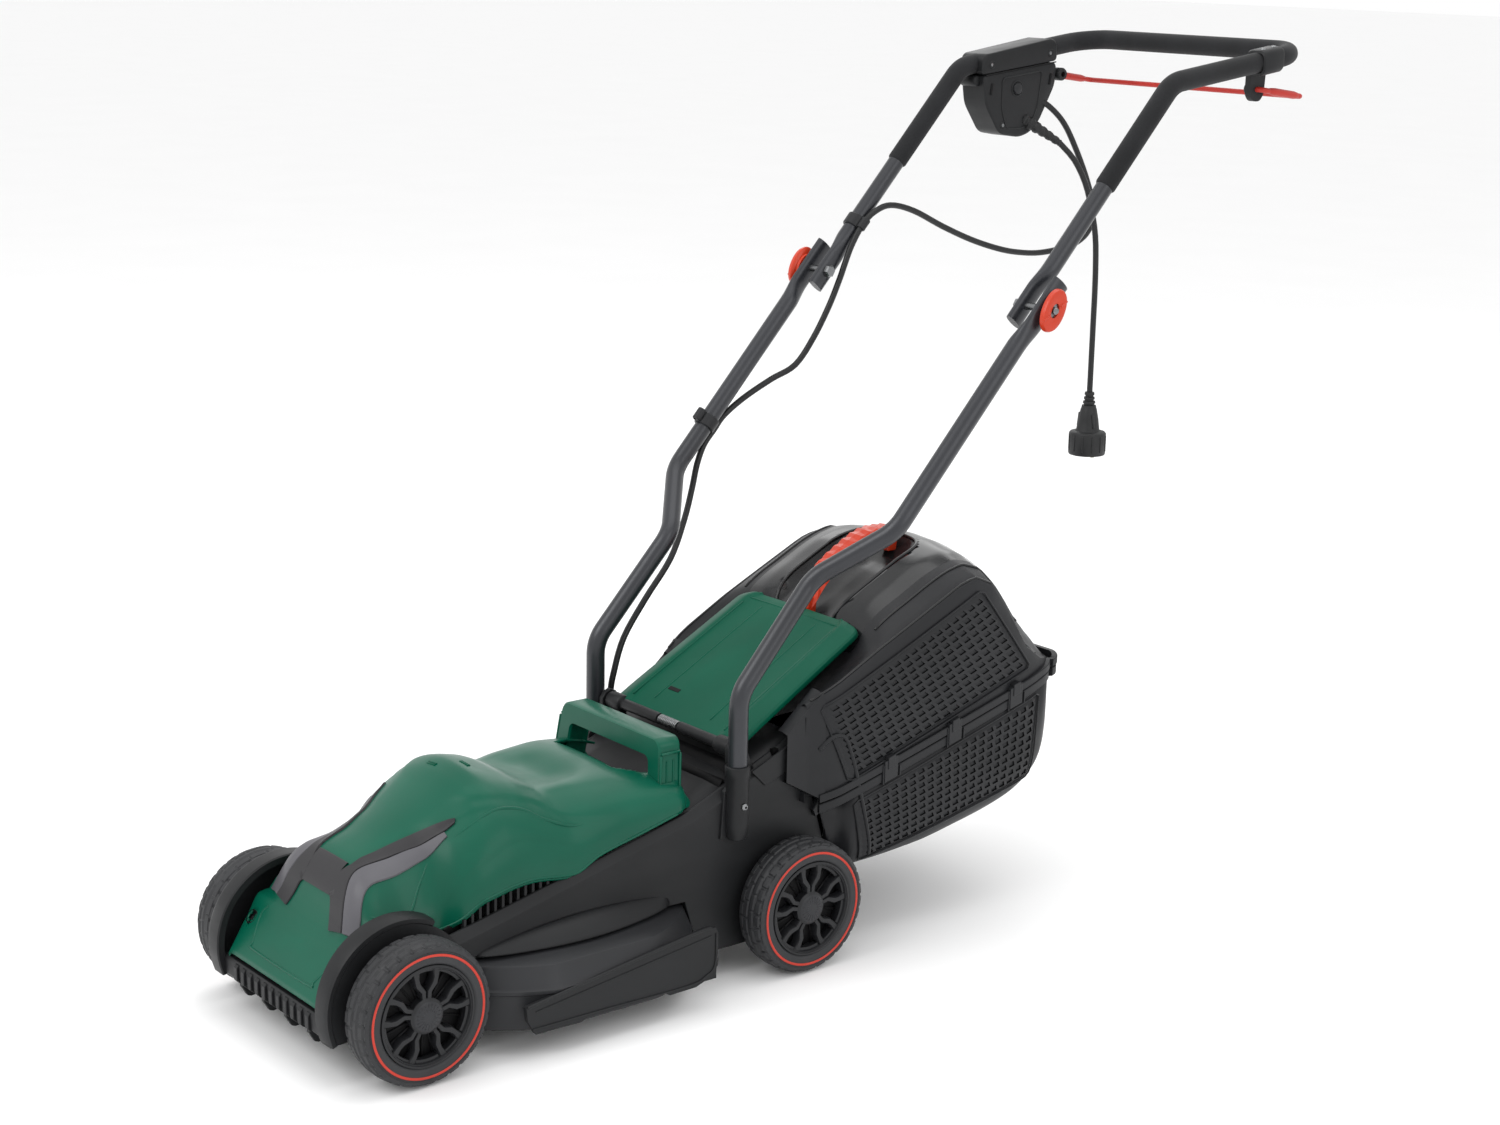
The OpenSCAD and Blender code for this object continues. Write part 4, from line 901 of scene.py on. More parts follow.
# tube sockets, lugs and the hinge trough of the flap
socket = Shape()
for s in (-1, 1):
    socket.lathe([(10.2, 227), (12.4, 227), (13, 226), (13, 216), (12.2, 214.5), (12.0, 165), (11.4, 152),
                  (9.5, 149), (1, 149), (1, 152), (10.2, 153)], about_z(s * SX, SY), 32)
    gusset = [(142, 150), (146, 200), (160, 214), (176, 214), (178, 150)]
    socket.prism(gusset, (s * 116, s * 121), sideways)
    lug = [(157, 226), (157, 240), (161, 246), (168, 249), (175, 246), (179, 240), (192, 212), (176, 206)]
    socket.prism(lug, (s * 106.6, s * 112.5), sideways)
    # closed cover that runs back from the ridge's end along the mouth
    socket.prism([(182, 214), (240, 238), (246, 232), (250, 214), (200, 196)], (s * 117, s * 120), sideways)
socket.piece("tube_sockets", BLACK, "deck", "black_plastic", smooth=35, bevel=0.8)
bolts = Shape()
for s in (-1, 1):
    bolts.lathe([(0.1, 2.6), (2.4, 2.4), (3.6, 1.2), (3.7, 0), (0.1, 0)],
                about_x(SY, 186, SX + 12.2, s), 20, 0)
    # the hex socket in each screw head is a near-black disc of painted shade
    bolts.lathe([(0.1, 2.75), (1.5, 2.75), (1.5, 2.2), (0.1, 2.2)],
                about_x(SY, 186, SX + 12.2, s), 6, 1)
bolts.piece("socket_screws", [ZINC, RECESS_SHADE], "deck", "zinc_steel", smooth=30)
# the hinge trough is a near-black sheet of painted shade
trough = Shape()
trough.grid([[(x, y, z) for x in np.linspace(-106, 106, 5)] for y, z in
             ((150, 201), (153, 206), (156, 208), (158, 203), (176, 214), (180, 218))])
trough.piece("hinge_trough", RECESS_SHADE, "deck", "black_plastic", smooth=30, solid=2)
inlet = Shape()
inlet.lathe([(3.6, 226), (5.4, 226), (6.2, 224.5), (6.2, 214), (5.2, 213), (5.2, 209), (6.6, 208), (6.8, 196),
             (3.6, 196)],
            about_z(-SX, 180), 24)
inlet.piece("cable_inlet", PLUG, "deck", "plug_rubber")

# ---------------------------------------------------------------- wheels

WHEEL_R, WHEEL_IN = 70, 125
CORNERS = {"fl": (1, -AXLE_Y), "fr": (-1, -AXLE_Y), "rl": (1, AXLE_Y), "rr": (-1, AXLE_Y)}


def tread(along, angle):
    """Depth of the tread's grooves at a place across the tyre and round it."""
    depth = 0.0
    for edge in (11.5, 20, 28.5):
        depth = max(depth, 1.2 * (abs(along - edge) < 0.8))
    lane = 0 if along < 11.5 else 1 if along < 20 else 2 if along < 28.5 else 3
    pitch = 360 / (30 if lane in (0, 3) else 24)
    offset = 0.5 * pitch if lane > 1 else 0.0
    across = (angle - offset) % pitch
    if across < 1.4 or across > pitch - 0.01:
        depth = max(depth, 1.5 if lane in (0, 3) else 1.1)
    return depth


def wheel(corner):
    """One wheel: tyre, red ring, spoked rim and cap."""
    side, y0 = CORNERS[corner]
    body = "wheel_" + corner
    spot = about_x(y0, AXLE_Z, WHEEL_IN, side)
    tyre = Shape()
    alongs = [4, 6, 8, 10.6, 11.4, 12.4, 15, 18, 19.3, 20.7, 23, 26, 27.8, 29.2, 31, 33, 35, 36.4]
    steps = 300
    rows = []
    for k in range(steps):
        deg = 360 * k / steps
        a = math.radians(deg)
        row = [spot(50, a, 2), spot(62, a, 1), spot(65.5, a, 2)]
        for d in alongs:
            crown = WHEEL_R - 0.0022 * (d - 20) ** 2 * 3.2 - (1.2 if d in (4, 36.4) else 0)
            row.append(spot(crown - tread(d, deg), a, d))
        lug = 1.1 if (deg % 12) < 1.3 else 0.0
        row += [spot(66.8 - lug, a, 38.6), spot(64.8, a, 39.6), spot(63.2, a, 39.9), spot(62.4, a, 39.2),
                spot(61.4, a, 39.2), spot(60.7, a, 40), spot(52.5, a, 40), spot(51.2, a, 39.2),
                spot(50, a, 38)]
        rows.append(row)
    tyre.grid(rows, closed=True)
    tyre.piece("tread_" + corner, TYRE, body, "tyre_plastic", ["tyre_" + corner], smooth=28)

    band = Shape()
    band.lathe([(60.8, 39.2), (60.6, 40.3), (60.0, 40.7), (58.8, 40.7), (58.2, 40.3), (58.0, 39.2)], spot,
               120)
    band.piece("ring_" + corner, STRIPE, body, "red_stripe", ["stripe_" + corner], smooth=50)

    rim = Shape()
    # barrel with stepped lip, and a dish behind the spokes in near-black painted shade
    rim.lathe([(49.7, 38), (49.7, 39.4), (48.8, 39.8), (47.6, 39.8), (47, 38.6), (46.2, 38.6), (45.6, 37.4),
               (45.2, 35), (44.6, 20), (44, 6), (49.7, 3)], spot, 96, 0)
    rim.lathe([(44.6, 24), (30, 26), (17, 27), (9, 27), (5.1, 27), (5.1, 5), (14, 5), (15, 22), (44.4, 19)],
              spot, 60, 1)
    rim.lathe([(17.5, 36.6), (15.5, 38.4), (14.6, 38.6), (13.4, 38.0), (12.8, 38.4), (12.4, 32), (12.4, 28),
               (17.5, 28)], spot, 60, 0)
    for k in range(5):
        mid = math.radians(90 + 72 * k)
        for s in (-1, 1):
            # each arm: out beside its twin, a kink away from it, then straight to the rim
            path = [(12.5, 2.3), (24, 2.9), (31.5, 8.6), (37, 10.0), (47.5, 10.8)]
            width = [2.6, 3.0, 3.6, 3.2, 5.0]
            left, right = [], []
            for i, (r, t) in enumerate(path):
                a, b = path[max(i - 1, 0)], path[min(i + 1, 4)]
                d = np.array((b[0] - a[0], b[1] - a[1]), float)
                d /= np.linalg.norm(d)
                nrm = np.array((-d[1], d[0]))
                left.append(np.array((r, t)) + nrm * width[i])
                right.append(np.array((r, t)) - nrm * width[i] * 0.8)
            outline = left + right[::-1]

            def lay(u, v, w, s=s, mid=mid):
                r, t = u, s * v
                return (side * (WHEEL_IN + w - 0.04 * max(0, 30 - r)),
                        y0 + r * math.cos(mid) - t * math.sin(mid),
                        AXLE_Z + r * math.sin(mid) + t * math.cos(mid))

            m = len(outline)
            centre = [0.5 * (left[i] + right[i]) for i in range(5)]
            top_line = [c + (np.array(p) - c) * 0.72 for p, c in zip(left, centre)] + \
                [c + (np.array(p) - c) * 0.72 for p, c in zip(right, centre)][::-1]
            pts = [lay(*p, 27) for p in outline] + [lay(*p, 35.6) for p in outline]
            pts += [lay(*p, 37.2) for p in top_line]
            faces = []
            for q in range(2):
                faces += [(q * m + i, q * m + (i + 1) % m, (q + 1) * m + (i + 1) % m, (q + 1) * m + i)
                          for i in range(m)]
            faces += [(2 * m + i, 2 * m + i + 1, 2 * m + m - 2 - i, 2 * m + m - 1 - i) for i in range(4)]
            rim.add(pts, faces, 0)
        # bridge near the rim between the twins, and rim segment between neighbours
        for low_a, high_a, r0, r1, w in ((-11, 11, 43.5, 46.5, 35.6), (20, 52, 42.8, 45.8, 35.0)):
            pts, faces = [], []
            count = 8
            for i in range(count + 1):
                a = mid + math.radians(low_a + (high_a - low_a) * i / count)
                pts += [spot(r0, a, 29), spot(r0, a, w), spot(r1, a, w + 0.8), spot(r1, a, 29)]
            for i in range(count):
                faces += [(4 * i + j, 4 * i + (j + 1) % 4, 4 * i + 4 + (j + 1) % 4, 4 * i + 4 + j)
                          for j in range(4)]
            rim.add(pts, faces, 0)
        # ribs in the dish, in the same near-black painted shade
        for da in (36, 20, 52):
            a = mid + math.radians(da)
            rim.sweep([spot(18, a, 28), spot(43, a, 26)], 1.2, 6, 1)
    rim.piece("spokes_" + corner, [RIM, RECESS_SHADE], body, "rim_plastic", ["rim_" + corner], smooth=32)

    hub = Shape()
    hub.lathe([(0.2, 40.6), (5, 40.5), (10, 40.1), (13.6, 39.4), (15.0, 38.4), (15, 37.2), (12, 36), (12, 34),
               (0.2, 34)], spot, 60)
    for k in range(20):
        a = 2 * math.pi * k / 20
        hub.sweep([spot(6, a, 40.3), spot(12.6, a, 39.7)], 0.45, 6)
    hub.piece("hub_" + corner, HUB, body, "rim_plastic", ["cap_" + corner], smooth=40)


for corner in CORNERS:
    wheel(corner)

# ---------------------------------------------------------------- flap

FLAP_Y, FLAP_Z, FLAP_END = 168, 238, (342, 335)
rise = math.atan2(FLAP_END[1] - FLAP_Z, FLAP_END[0] - FLAP_Y)
length = math.hypot(FLAP_END[1] - FLAP_Z, FLAP_END[0] - FLAP_Y)


# section across the flap, as (share of its half width, height)
FLAP_SECTION = [(-1, -6), (-0.995, -1.5), (-0.98, 0.5), (-0.965, 1.2), (-0.87, 4.6), (-0.83, 5.6), (-0.80, 6),
                (-0.765, 5.6), (-0.74, 4.4), (-0.70, 3.9), (-0.4, 4.3), (-0.2, 4.5), (0, 4.6)]
FLAP_SECTION += [(-u, h) for u, h in FLAP_SECTION[-2::-1]]


def on_flap(x, along, height):
    """Point at a distance along the leaning flap and a height over it."""
    return (x, FLAP_Y + along * math.cos(rise) - height * math.sin(rise),
            FLAP_Z + along * math.sin(rise) + height * math.cos(rise))


flap = Shape()
rows = []
turn_in = length - 14 + 14 * np.sin(np.linspace(0.15, 1, 8) * math.pi / 2)
for t in np.concatenate([[0.0, 1.5, 4, 8], np.linspace(12, length - 14, 24), turn_in]):
    back_off = max(0, t - (length - 14)) / 14
    half = 105 - 7.0 * (t / length) - 11 * (1 - math.sqrt(max(0, 1 - back_off ** 2)))
    lift = -1.5 * back_off ** 2 + 1.2 * math.sin(min(t / 40, 1) * math.pi / 2) - 1.2
    rows.append([on_flap(u * half, t, h + lift) for u, h in FLAP_SECTION])
flap.grid(rows)
flap.piece("flap_panel", FLAP_GREEN, "flap", "dark_green_plastic", ["flap"], smooth=24, solid=2.6)
lines = Shape()
for s in (-1, 1):
    lines.sweep([on_flap(s * 48, 20, 4.1), on_flap(s * 45, length - 18, 4.1)], 1.0, 8, flat=0.6)
    lines.sweep([on_flap(s * 79, 14, 4.6), on_flap(s * 75, length - 20, 4.6)], 1.3, 8)
lines.sweep([on_flap(x, length - 10, 3.6) for x in (-76, -40, 0, 40, 76)], 1.2, 8)
lines.piece("flap_creases", FLAP_GREEN, "flap", "dark_green_plastic", smooth=60)
# the slot is a near-black patch of painted shade on the flap
slot = Shape()
slot.prism([(-44, 36), (-26, 36), (-26, 41), (-44, 41)], (4.1, 4.9), on_flap)
slot.piece("flap_slot", RECESS_SHADE, "flap", "dark_green_plastic", bevel=0.3)
barrel = Shape()
for s in (-1, 1):
    spin = about_x(FLAP_Y, FLAP_Z, 0.0, s)
    barrel.lathe([(3.1, 18), (6, 18), (6, 82), (8.6, 83), (9.4, 84.5), (9.4, 103), (8.6, 104.6),
                  (3.1, 104.6)], spin, 32)
    barrel.lathe([(0.5, 105.6), (4.5, 105.6), (5.5, 104.6), (3.2, 104.4), (0.5, 104.4)], spin, 24)
barrel.piece("flap_barrel", BLACK, "flap", "dark_green_plastic", smooth=40)

# ---------------------------------------------------------------- grass box

BOX_START, BOX_END, BOX_HALF = 245, 612, 140
HALF_UP = [(245, .9), (290, .985), (400, 1), (540, .99), (580, .95), (600, .86), (612, .72)]
HALF_LOW = [(245, .86), (290, .9), (308, .985), (400, 1), (540, .99), (580, .95), (600, .86), (612, .72)]
BOX_CROWN = [(245, 236), (290, 262), (342, 322), (350, 344), (400, 378), (440, 396), (480, 402), (520, 390),
             (560, 354), (590, 312), (612, 272)]
SHOULDER = [(245, 272), (340, 322), (450, 374), (472, 380), (498, 369), (520, 342), (552, 292), (580, 272),
            (612, 265)]
BOX_FLOOR = [(245, 118), (290, 96), (315, 80), (406, 84), (466, 93), (521, 104), (560, 118), (590, 142),
             (604, 180), (612, 250)]
# across the lid: share of the half width, blend from crown height to shoulder height, share of the side wall
LID = [(0, 0, 0, 1), (.3, .26, .06, 1), (.6, .55, .26, 1), (.8, .78, .62, 1), (.87, .88, .86, 1),
       (.9, .92, .97, 1), (.93, .955, 1, .985), (.95, .972, 1, .94), (.97, .985, 1, .7), (1, 1, 1, 0)]
LID_X, LID_DROP, LID_WALL = ([(row[0], row[k]) for row in LID] for k in (1, 2, 3))


SPLIT_RISE = 99        # how far the split line climbs from front to back


def split_z(y):
    """Height of the line where lid and tub meet."""
    return 163 + (y - BOX_START) / (BOX_END - BOX_START) * SPLIT_RISE


def mouth_y(z):
    """Where the slanted mouth of the box stands at height z."""
    return 243 + max(242 - z, 0) * 44 / 142


def recess(x, y):
    """Depth of the finger bowl under the grip."""
    s = (x / 54) ** 4 + ((y - 404) / 72) ** 4
    return 27 * (1 - s) ** 0.6 if s < 1 else 0.0


def lid_point(c, y, out=0.0):
    """Point of the lid at c, from -1 to 1 across it."""
    half = BOX_HALF * float(pchip(HALF_UP, y)) + out
    x = math.copysign(half * float(np.interp(abs(c), *zip(*LID_X))), c)
    high = float(pchip(BOX_CROWN, y))
    edge = float(np.interp(y, *zip(*SHOULDER)))
    z = high + (edge - high) * float(np.interp(abs(c), *zip(*LID_DROP))) + out - recess(x, y)
    if abs(c) > 0.9:
        s = split_z(y)
        z = s + (edge + out - s) * float(np.interp(abs(c), *zip(*LID_WALL)))
    return (x, max(y, mouth_y(z) + 1.5), z)


def tub_point(c, y, out=0.0):
    """Point of the tub at c, from -1 to 1 across it."""
    half = BOX_HALF * float(pchip(HALF_LOW, y)) + out
    s = split_z(y)
    z = s - (s - float(pchip(BOX_FLOOR, y)) + out) * (1 - abs(c) ** 7) ** (1 / 7)
    return (c * half, max(y, mouth_y(z) + 1.5), z)


END = [0, .002, .006, .012, .02, .03, .04, .055, .07, .085, .1, .13, .16, .2]
CS = np.array([-1 + v for v in END] + list(np.linspace(-.76, .76, 41)) + [1 - v for v in END[::-1]])
YS = sorted(list(np.linspace(250, 606, 76)) + [609, 611, BOX_END, 272, 284, 296, 308])
lid = Shape().grid([[lid_point(c, y) for c in CS] for y in YS])
end_row = [lid_point(c, BOX_END) for c in CS]
lid.add(end_row, [tuple(range(len(end_row)))])
middles = [np.mean([lid.points[i] for i in face], axis=0) for face in lid.faces]
lid.marks = [1 if abs(c[0]) < 96 and 332 < c[1] < 600 else 0 for c in middles]
lid.piece("box_lid", [BOX, GLOSS], "catcher", "gloss_black_plastic", ["catcher_upper"], smooth=32)
tub = Shape().grid([[tub_point(c, y) for c in CS] for y in YS])
tub.piece("box_tub", BOX, "catcher", "black_plastic", ["catcher_lower"], smooth=40, solid=2.4)


def side_x(y, z):
    """Half width of the box's outer face at height z."""
    s = split_z(y)
    if z >= s:
        wall = min((z - s) / (float(np.interp(y, *zip(*SHOULDER))) - s), 0.985)
        turn = [(row[3], row[1]) for row in LID[:4:-1]]
        return BOX_HALF * float(pchip(HALF_UP, y)) * float(np.interp(wall, *zip(*turn)))
    share = min((s - z) / (s - float(pchip(BOX_FLOOR, y))), 1)
    return BOX_HALF * float(pchip(HALF_LOW, y)) * (1 - share ** 7) ** (1 / 7)


def perforated(corners, rows_n, cols_n, name):
    """A thin side panel with rows of slots sunk into it; corners are (y, z) from the front top round."""
    a, b, c, d = (np.array(p, float) for p in corners)

    def at(u, v, out):
        y, z = (a * (1 - u) + b * u) * (1 - v) + (d * (1 - u) + c * u) * v
        return (side_x(y, z) + out, y, z)

    u0, v0 = 0.03, 0.045
    du, dv = (1 - 2 * u0) / cols_n, (1 - 2 * v0) / rows_n
    us = [0.0] + [u0 + du * (k + q) for k in range(cols_n) for q in (.12, .17, .74, .79)] + [1.0]
    vs = [0.0] + [v0 + dv * (k + q) for k in range(rows_n) for q in (.15, .21, .72, .78)] + [1.0]
    rows = []
    for j, v in enumerate(vs):
        row = []
        for i, u in enumerate(us):
            edge = i in (0, len(us) - 1) or j in (0, len(vs) - 1)
            pit = i % 4 in (2, 3) and j % 4 in (2, 3) and not edge
            slant = 0.3 * du * (v - vs[max(j - (j - 1) % 4, 0)]) / dv if not edge else 0
            row.append(at(u + slant, v, -4.0 if pit else (-1.5 if edge else 1.6)))
        rows.append(row)
    panel = Shape().grid(rows)
    panel.marks = []
    for face in panel.faces:
        points = [panel.points[i] for i in face]
        panel.marks.append(1 if min(p[0] - side_x(p[1], p[2]) for p in points) < -2 else 0)
    loop = [at(u, 0, 1.4) for u in np.linspace(0.02, 0.98, 24)]
    loop += [at(1, v, 1.4) for v in np.linspace(0.04, 0.96, 12)]
    loop += [at(u, 1, 1.4) for u in np.linspace(0.98, 0.02, 24)]
    loop += [at(0, v, 1.4) for v in np.linspace(0.96, 0.04, 12)]
    panel.sweep(loop, 1.0, 6, 0, closed=True)
    return panel.mirrored().piece(name, [BOX, PIT], "catcher", "black_plastic", smooth=20)


perforated([(262, 270), (478, 366), (556, 268), (296, 186)], 11, 18, "upper_side_slots")
perforated([(304, 162), (572, 236), (566, 140), (318, 92)], 9, 20, "lower_side_slots")

# cheeks that run forward beside the tunnel, and the frame round the mouth
cheek = Shape()
rows = []
for k in range(13):
    u = k / 12
    y = 224 + 44 * u
    top_z, low_z = 246 + 38 * u, 196 - 26 * u
    row = []
    for v in np.linspace(0, 1, 14):
        z = top_z + (low_z - top_z) * v
        x = 124.5 + (side_x(max(y, 250), max(z, split_z(y) + 1)) + 1.2 - 124.5) * float(step(u, 0.0, 0.85))
        row.append((x, y, z))
    rows.append([(108, y + 1, top_z + 1.5), (116, y, top_z + 2)] + row + [(row[-1][0] - 8, y, low_z - 1)])
cheek.grid(rows)
cheek.grid([[(x, 247, z) for x in (104, 112, 121, 126)] for z in np.linspace(170, 262, 9)])
cheek.mirrored().piece("box_cheeks", BOX, "catcher", "black_plastic", smooth=40)

# flange round the split line, with tabs and the latch
flange = Shape()
for out_, z0, z1 in ((3.4, 1.0, 9.5), (2.6, -10.5, -0.6)):
    loop = []
    for y in np.linspace(262, 596, 60):
        loop.append((BOX_HALF * float(pchip(HALF_UP, y)), y))
    for k in range(1, 9):
        a = k / 9 * math.pi / 2
        loop.append((BOX_HALF * .885 + (BOX_HALF * .03) * math.cos(a) - 18 * (1 - math.cos(a)),
                     596 + 17 * math.sin(a)))
    loop = loop + [(-x, y) for x, y in loop[::-1]]
    rows = []
    for i, (x, y) in enumerate(loop):
        a, b = np.array(loop[max(i - 1, 0)]), np.array(loop[min(i + 1, len(loop) - 1)])
        t = (b - a) / np.linalg.norm(b - a)
        n = np.array((t[1], -t[0]))
        if n @ np.array((x, y - 430)) < 0:
            n = -n
        s = split_z(min(y, BOX_END))
        rows.append([(x + n[0] * o, y + n[1] * o, s + z) for o, z in
                     ((-3, z0), (out_ - 0.8, z0), (out_, z0 + 0.8), (out_, z1 - 0.8), (out_ - 0.8, z1),
                      (-3, z1))])
    flange.rings(rows)
flange.piece("box_flange", BOX, "catcher", "black_plastic", smooth=30)
tabs = Shape()
for y in (350, 440, 530):
    x, s = BOX_HALF * float(pchip(HALF_UP, y)), split_z(y)
    tilt = SPLIT_RISE / (BOX_END - BOX_START)
    for off, w, z0, z1, t in ((0, 9, -11, 12, 5.2), (0, 5, 2, 15, 6.2), (13, 0.8, -13, -1, 4.6),
                              (-9.8, 0.8, -13, 9, 4.4)):
        tabs.prism([(y + off - w, s + z0 + tilt * (off - w)), (y + off + w, s + z0 + tilt * (off + w)),
                    (y + off + w, s + z1 + tilt * (off + w)), (y + off - w, s + z1 + tilt * (off - w))],
                   (x - 1, x + t), sideways)
tabs.mirrored().piece("box_tabs", RIM, "catcher", "rim_plastic", ["catcher_clips"], smooth=30, bevel=0.7)
latch = Shape()
x0 = 118
latch.prism([(262, 158), (272, 172), (286, 176), (288, 168), (276, 164), (272, 154), (266, 150)],
            (x0 - 2, x0 + 5), sideways)
latch.prism([(284, 166), (300, 170), (300, 158), (294, 150), (286, 152)], (x0, x0 + 6), sideways)
latch.prism([(276, 150), (284, 148), (290, 138), (282, 138)], (x0, x0 + 3.5), sideways)
latch.mirrored().piece("box_latches", RIM, "catcher", "black_plastic", smooth=30, bevel=0.8)

# arched hollow beside the rear wheel: its raised rim
arch = Shape()
for s in (1, -1):
    edge_line = []
    for y, z in curve([(262, 226), (276, 238), (290, 236), (300, 214), (310, 180), (318, 150), (326, 118),
                       (330, 100)], 6):
        edge_line.append((s * (side_x(y, z) + 0.6), float(y), float(z)))
    arch.sweep(edge_line, 2.6, 8)
arch.piece("box_arches", BOX, "catcher", "black_plastic", smooth=60)

# shoulder lines of the lid, bowl rim, and the square peg holes of the deck beside the flap
lid_lines = Shape()
ring_line = []
for k in range(48):
    a = 2 * math.pi * k / 48
    x = 54 * math.copysign(abs(math.cos(a)) ** 0.5, math.cos(a))
    y = 404 + 72 * math.copysign(abs(math.sin(a)) ** 0.5, math.sin(a))
    share = float(np.interp(abs(x) / BOX_HALF, *list(zip(*LID_X))[::-1]))
    ring_line.append(lid_point(math.copysign(share, x), y, 0.3))
lid_lines.sweep(ring_line, 1.8, 8, closed=True)
for s in (-1, 1):
    for c, y0, y1 in ((0.8, 352, 560), (0.915, 256, 572)):
        pts = [lid_point(s * c, y, 0.3) for y in np.linspace(y0, y1, 30)]
        lid_lines.sweep(pts, 1.4, 8)
lid_lines.piece("lid_lines", GLOSS, "catcher", "gloss_black_plastic", smooth=60)
peg = Shape().box((109.5, 213, 220), (115.5, 220, 231.2)).mirrored()
peg.piece("peg_holes", PIT, "deck", "black_plastic", bevel=0.5)

# knurled grip: a bowed bar with triangular facets on its sides
grip = Shape()
GRIP_Y = np.linspace(346, 466, 23)


def grip_z(y):
    """Height of the grip's bowed middle line."""
    return float(pchip(BOX_CROWN, y)) + 9 + 10 * math.sin(math.pi * (y - 346) / 120)


rows = []
for i, y in enumerate(GRIP_Y):
    z = grip_z(y) - 2
    out, ends = (2.6 if i % 2 else -1.4), (0.6 if i in (0, len(GRIP_Y) - 1) else 1.0)
    row = [(-12, -11), (-15.5, -8), (-13.5 - out, -2.5), (-10, 2.5 + out * 0.5), (0, 4.0)]
    row = row + [(-u, v) for u, v in row[:4][::-1]] + [(0, -12)]
    rows.append([(u * ends, y, z + v) for u, v in row])
grip.rings(rows, caps=True)
grip.piece("box_grip", RED, "catcher", "red_plastic", ["catcher_grip"], smooth=5)
posts = Shape()
for y in (349, 463):
    z = grip_z(y)
    posts.prism([(-12, z - 2), (12, z - 2), (9, z - 26), (-9, z - 26)], (y - 6, y + 6),
                lambda u, v, w: (u, w, v))
posts.piece("grip_posts", RED, "catcher", "red_plastic", smooth=30, bevel=1.5)

# ---------------------------------------------------------------- handle

PIVOT = np.array((499.0, 671.0))
LEAN = np.array((0.671, 0.741))
LOWER_X, LOWER_R, UPPER_R = 183.5, 10, 9.5
UPPER_X = LOWER_X - LOWER_R - UPPER_R - 0.4


def leg(x, t):
    """Point on the straight line through the fold joint."""
    return (x, *(PIVOT + LEAN * t))


def pressed_ring(p, t, normal, radius, k, inward):
    """Ring of points round a tube at p, pressed flatter across by k and shifted to the side inward."""
    other = t.cross(normal)
    shift = Vector((inward * radius * k * 0.5, 0, 0))
    return [p + normal * math.cos(a) * radius * (1 - k * 0.5) + shift
            + other * math.sin(a) * radius * (1 + k * 0.18)
            for a in np.linspace(0, 2 * math.pi, 28, endpoint=False)]


def directions(path):
    """Direction of the path at each of its points."""
    m = len(path)
    return [(path[min(i + 1, m - 1)] - path[max(i - 1, 0)]).normalized() for i in range(m)]


lower_bend = bend([(SX, SY, 153), (SX, SY, 300), (SX - 3, 256, 407), (LOWER_X, 309, 461), leg(LOWER_X, -60)],
                  40, 12)
tail = [leg(LOWER_X, t) for t in np.linspace(-56, 34, 24)]
for s, node in ((1, "lower_tube_left"), (-1, "lower_tube_right")):
    path = [Vector((s * p[0], p[1], p[2])) for p in lower_bend + tail]
    press = [0.0] * len(lower_bend) + [float(step(t, -50, -18)) * 0.9 for t in np.linspace(-56, 34, 24)]
    rows = []
    for p, t, k in zip(path, directions(path), press):
        rows.append(pressed_ring(p, t, (Vector((1, 0, 0)) - t * t.x).normalized(), LOWER_R, k, s))
    tube = Shape().rings(rows, caps=True)
    tube.piece("tube_" + node, TUBE, "deck", "tube_paint", [node], smooth=50)

head = [leg(UPPER_X, t) for t in np.linspace(-22, 60, 24)]
ends = [leg(UPPER_X, 62), leg(UPPER_X, 300), (UPPER_X, 908, 923)]
mirror = [(-p[0], p[1], p[2]) for p in ends[::-1]]
bar_path = bend(ends + mirror, 38, 14)
path = [Vector(p) for p in head + bar_path + [(-p[0], p[1], p[2]) for p in head[::-1]]]
press = [(1 - float(step(t, 18, 50))) * 0.9 for t in np.linspace(-22, 60, 24)]
press = press + [0.0] * len(bar_path) + press[::-1]
rows, normal = [], Vector((1, 0, 0))
for p, t, k in zip(path, directions(path), press):
    normal = (normal - t * t.dot(normal)).normalized()
    rows.append(pressed_ring(p, t, normal, UPPER_R, k, -1 if p.x > 0 else 1))
tube = Shape().rings(rows, caps=True)
tube.piece("tube_upper_handle", TUBE, "upper_handle", "tube_paint", ["upper_handle"], smooth=50)

sleeve_ends = [leg(UPPER_X, 160), leg(UPPER_X, 300), (UPPER_X, 908, 923)]
sleeve_path = bend(sleeve_ends + [(-p[0], p[1], p[2]) for p in sleeve_ends[::-1]], 38, 14)
Shape().sweep(sleeve_path, 11.2, 28).piece("foam_sleeve", FOAM, "upper_handle", "grip_foam", ["grip_sleeve"],
                                           smooth=50)


# steps of the knob from its seat to its face, as (share of the outline, height)
KNOB_STEPS = [(0.62, 1.0), (0.66, 3.6), (0.9, 4.6), (1.0, 6.2), (1.0, 9.0), (0.95, 11.2), (0.8, 12.0),
              (0.5, 11.4), (0.34, 11.0), (0.34, 8.0), (0.02, 8.0)]


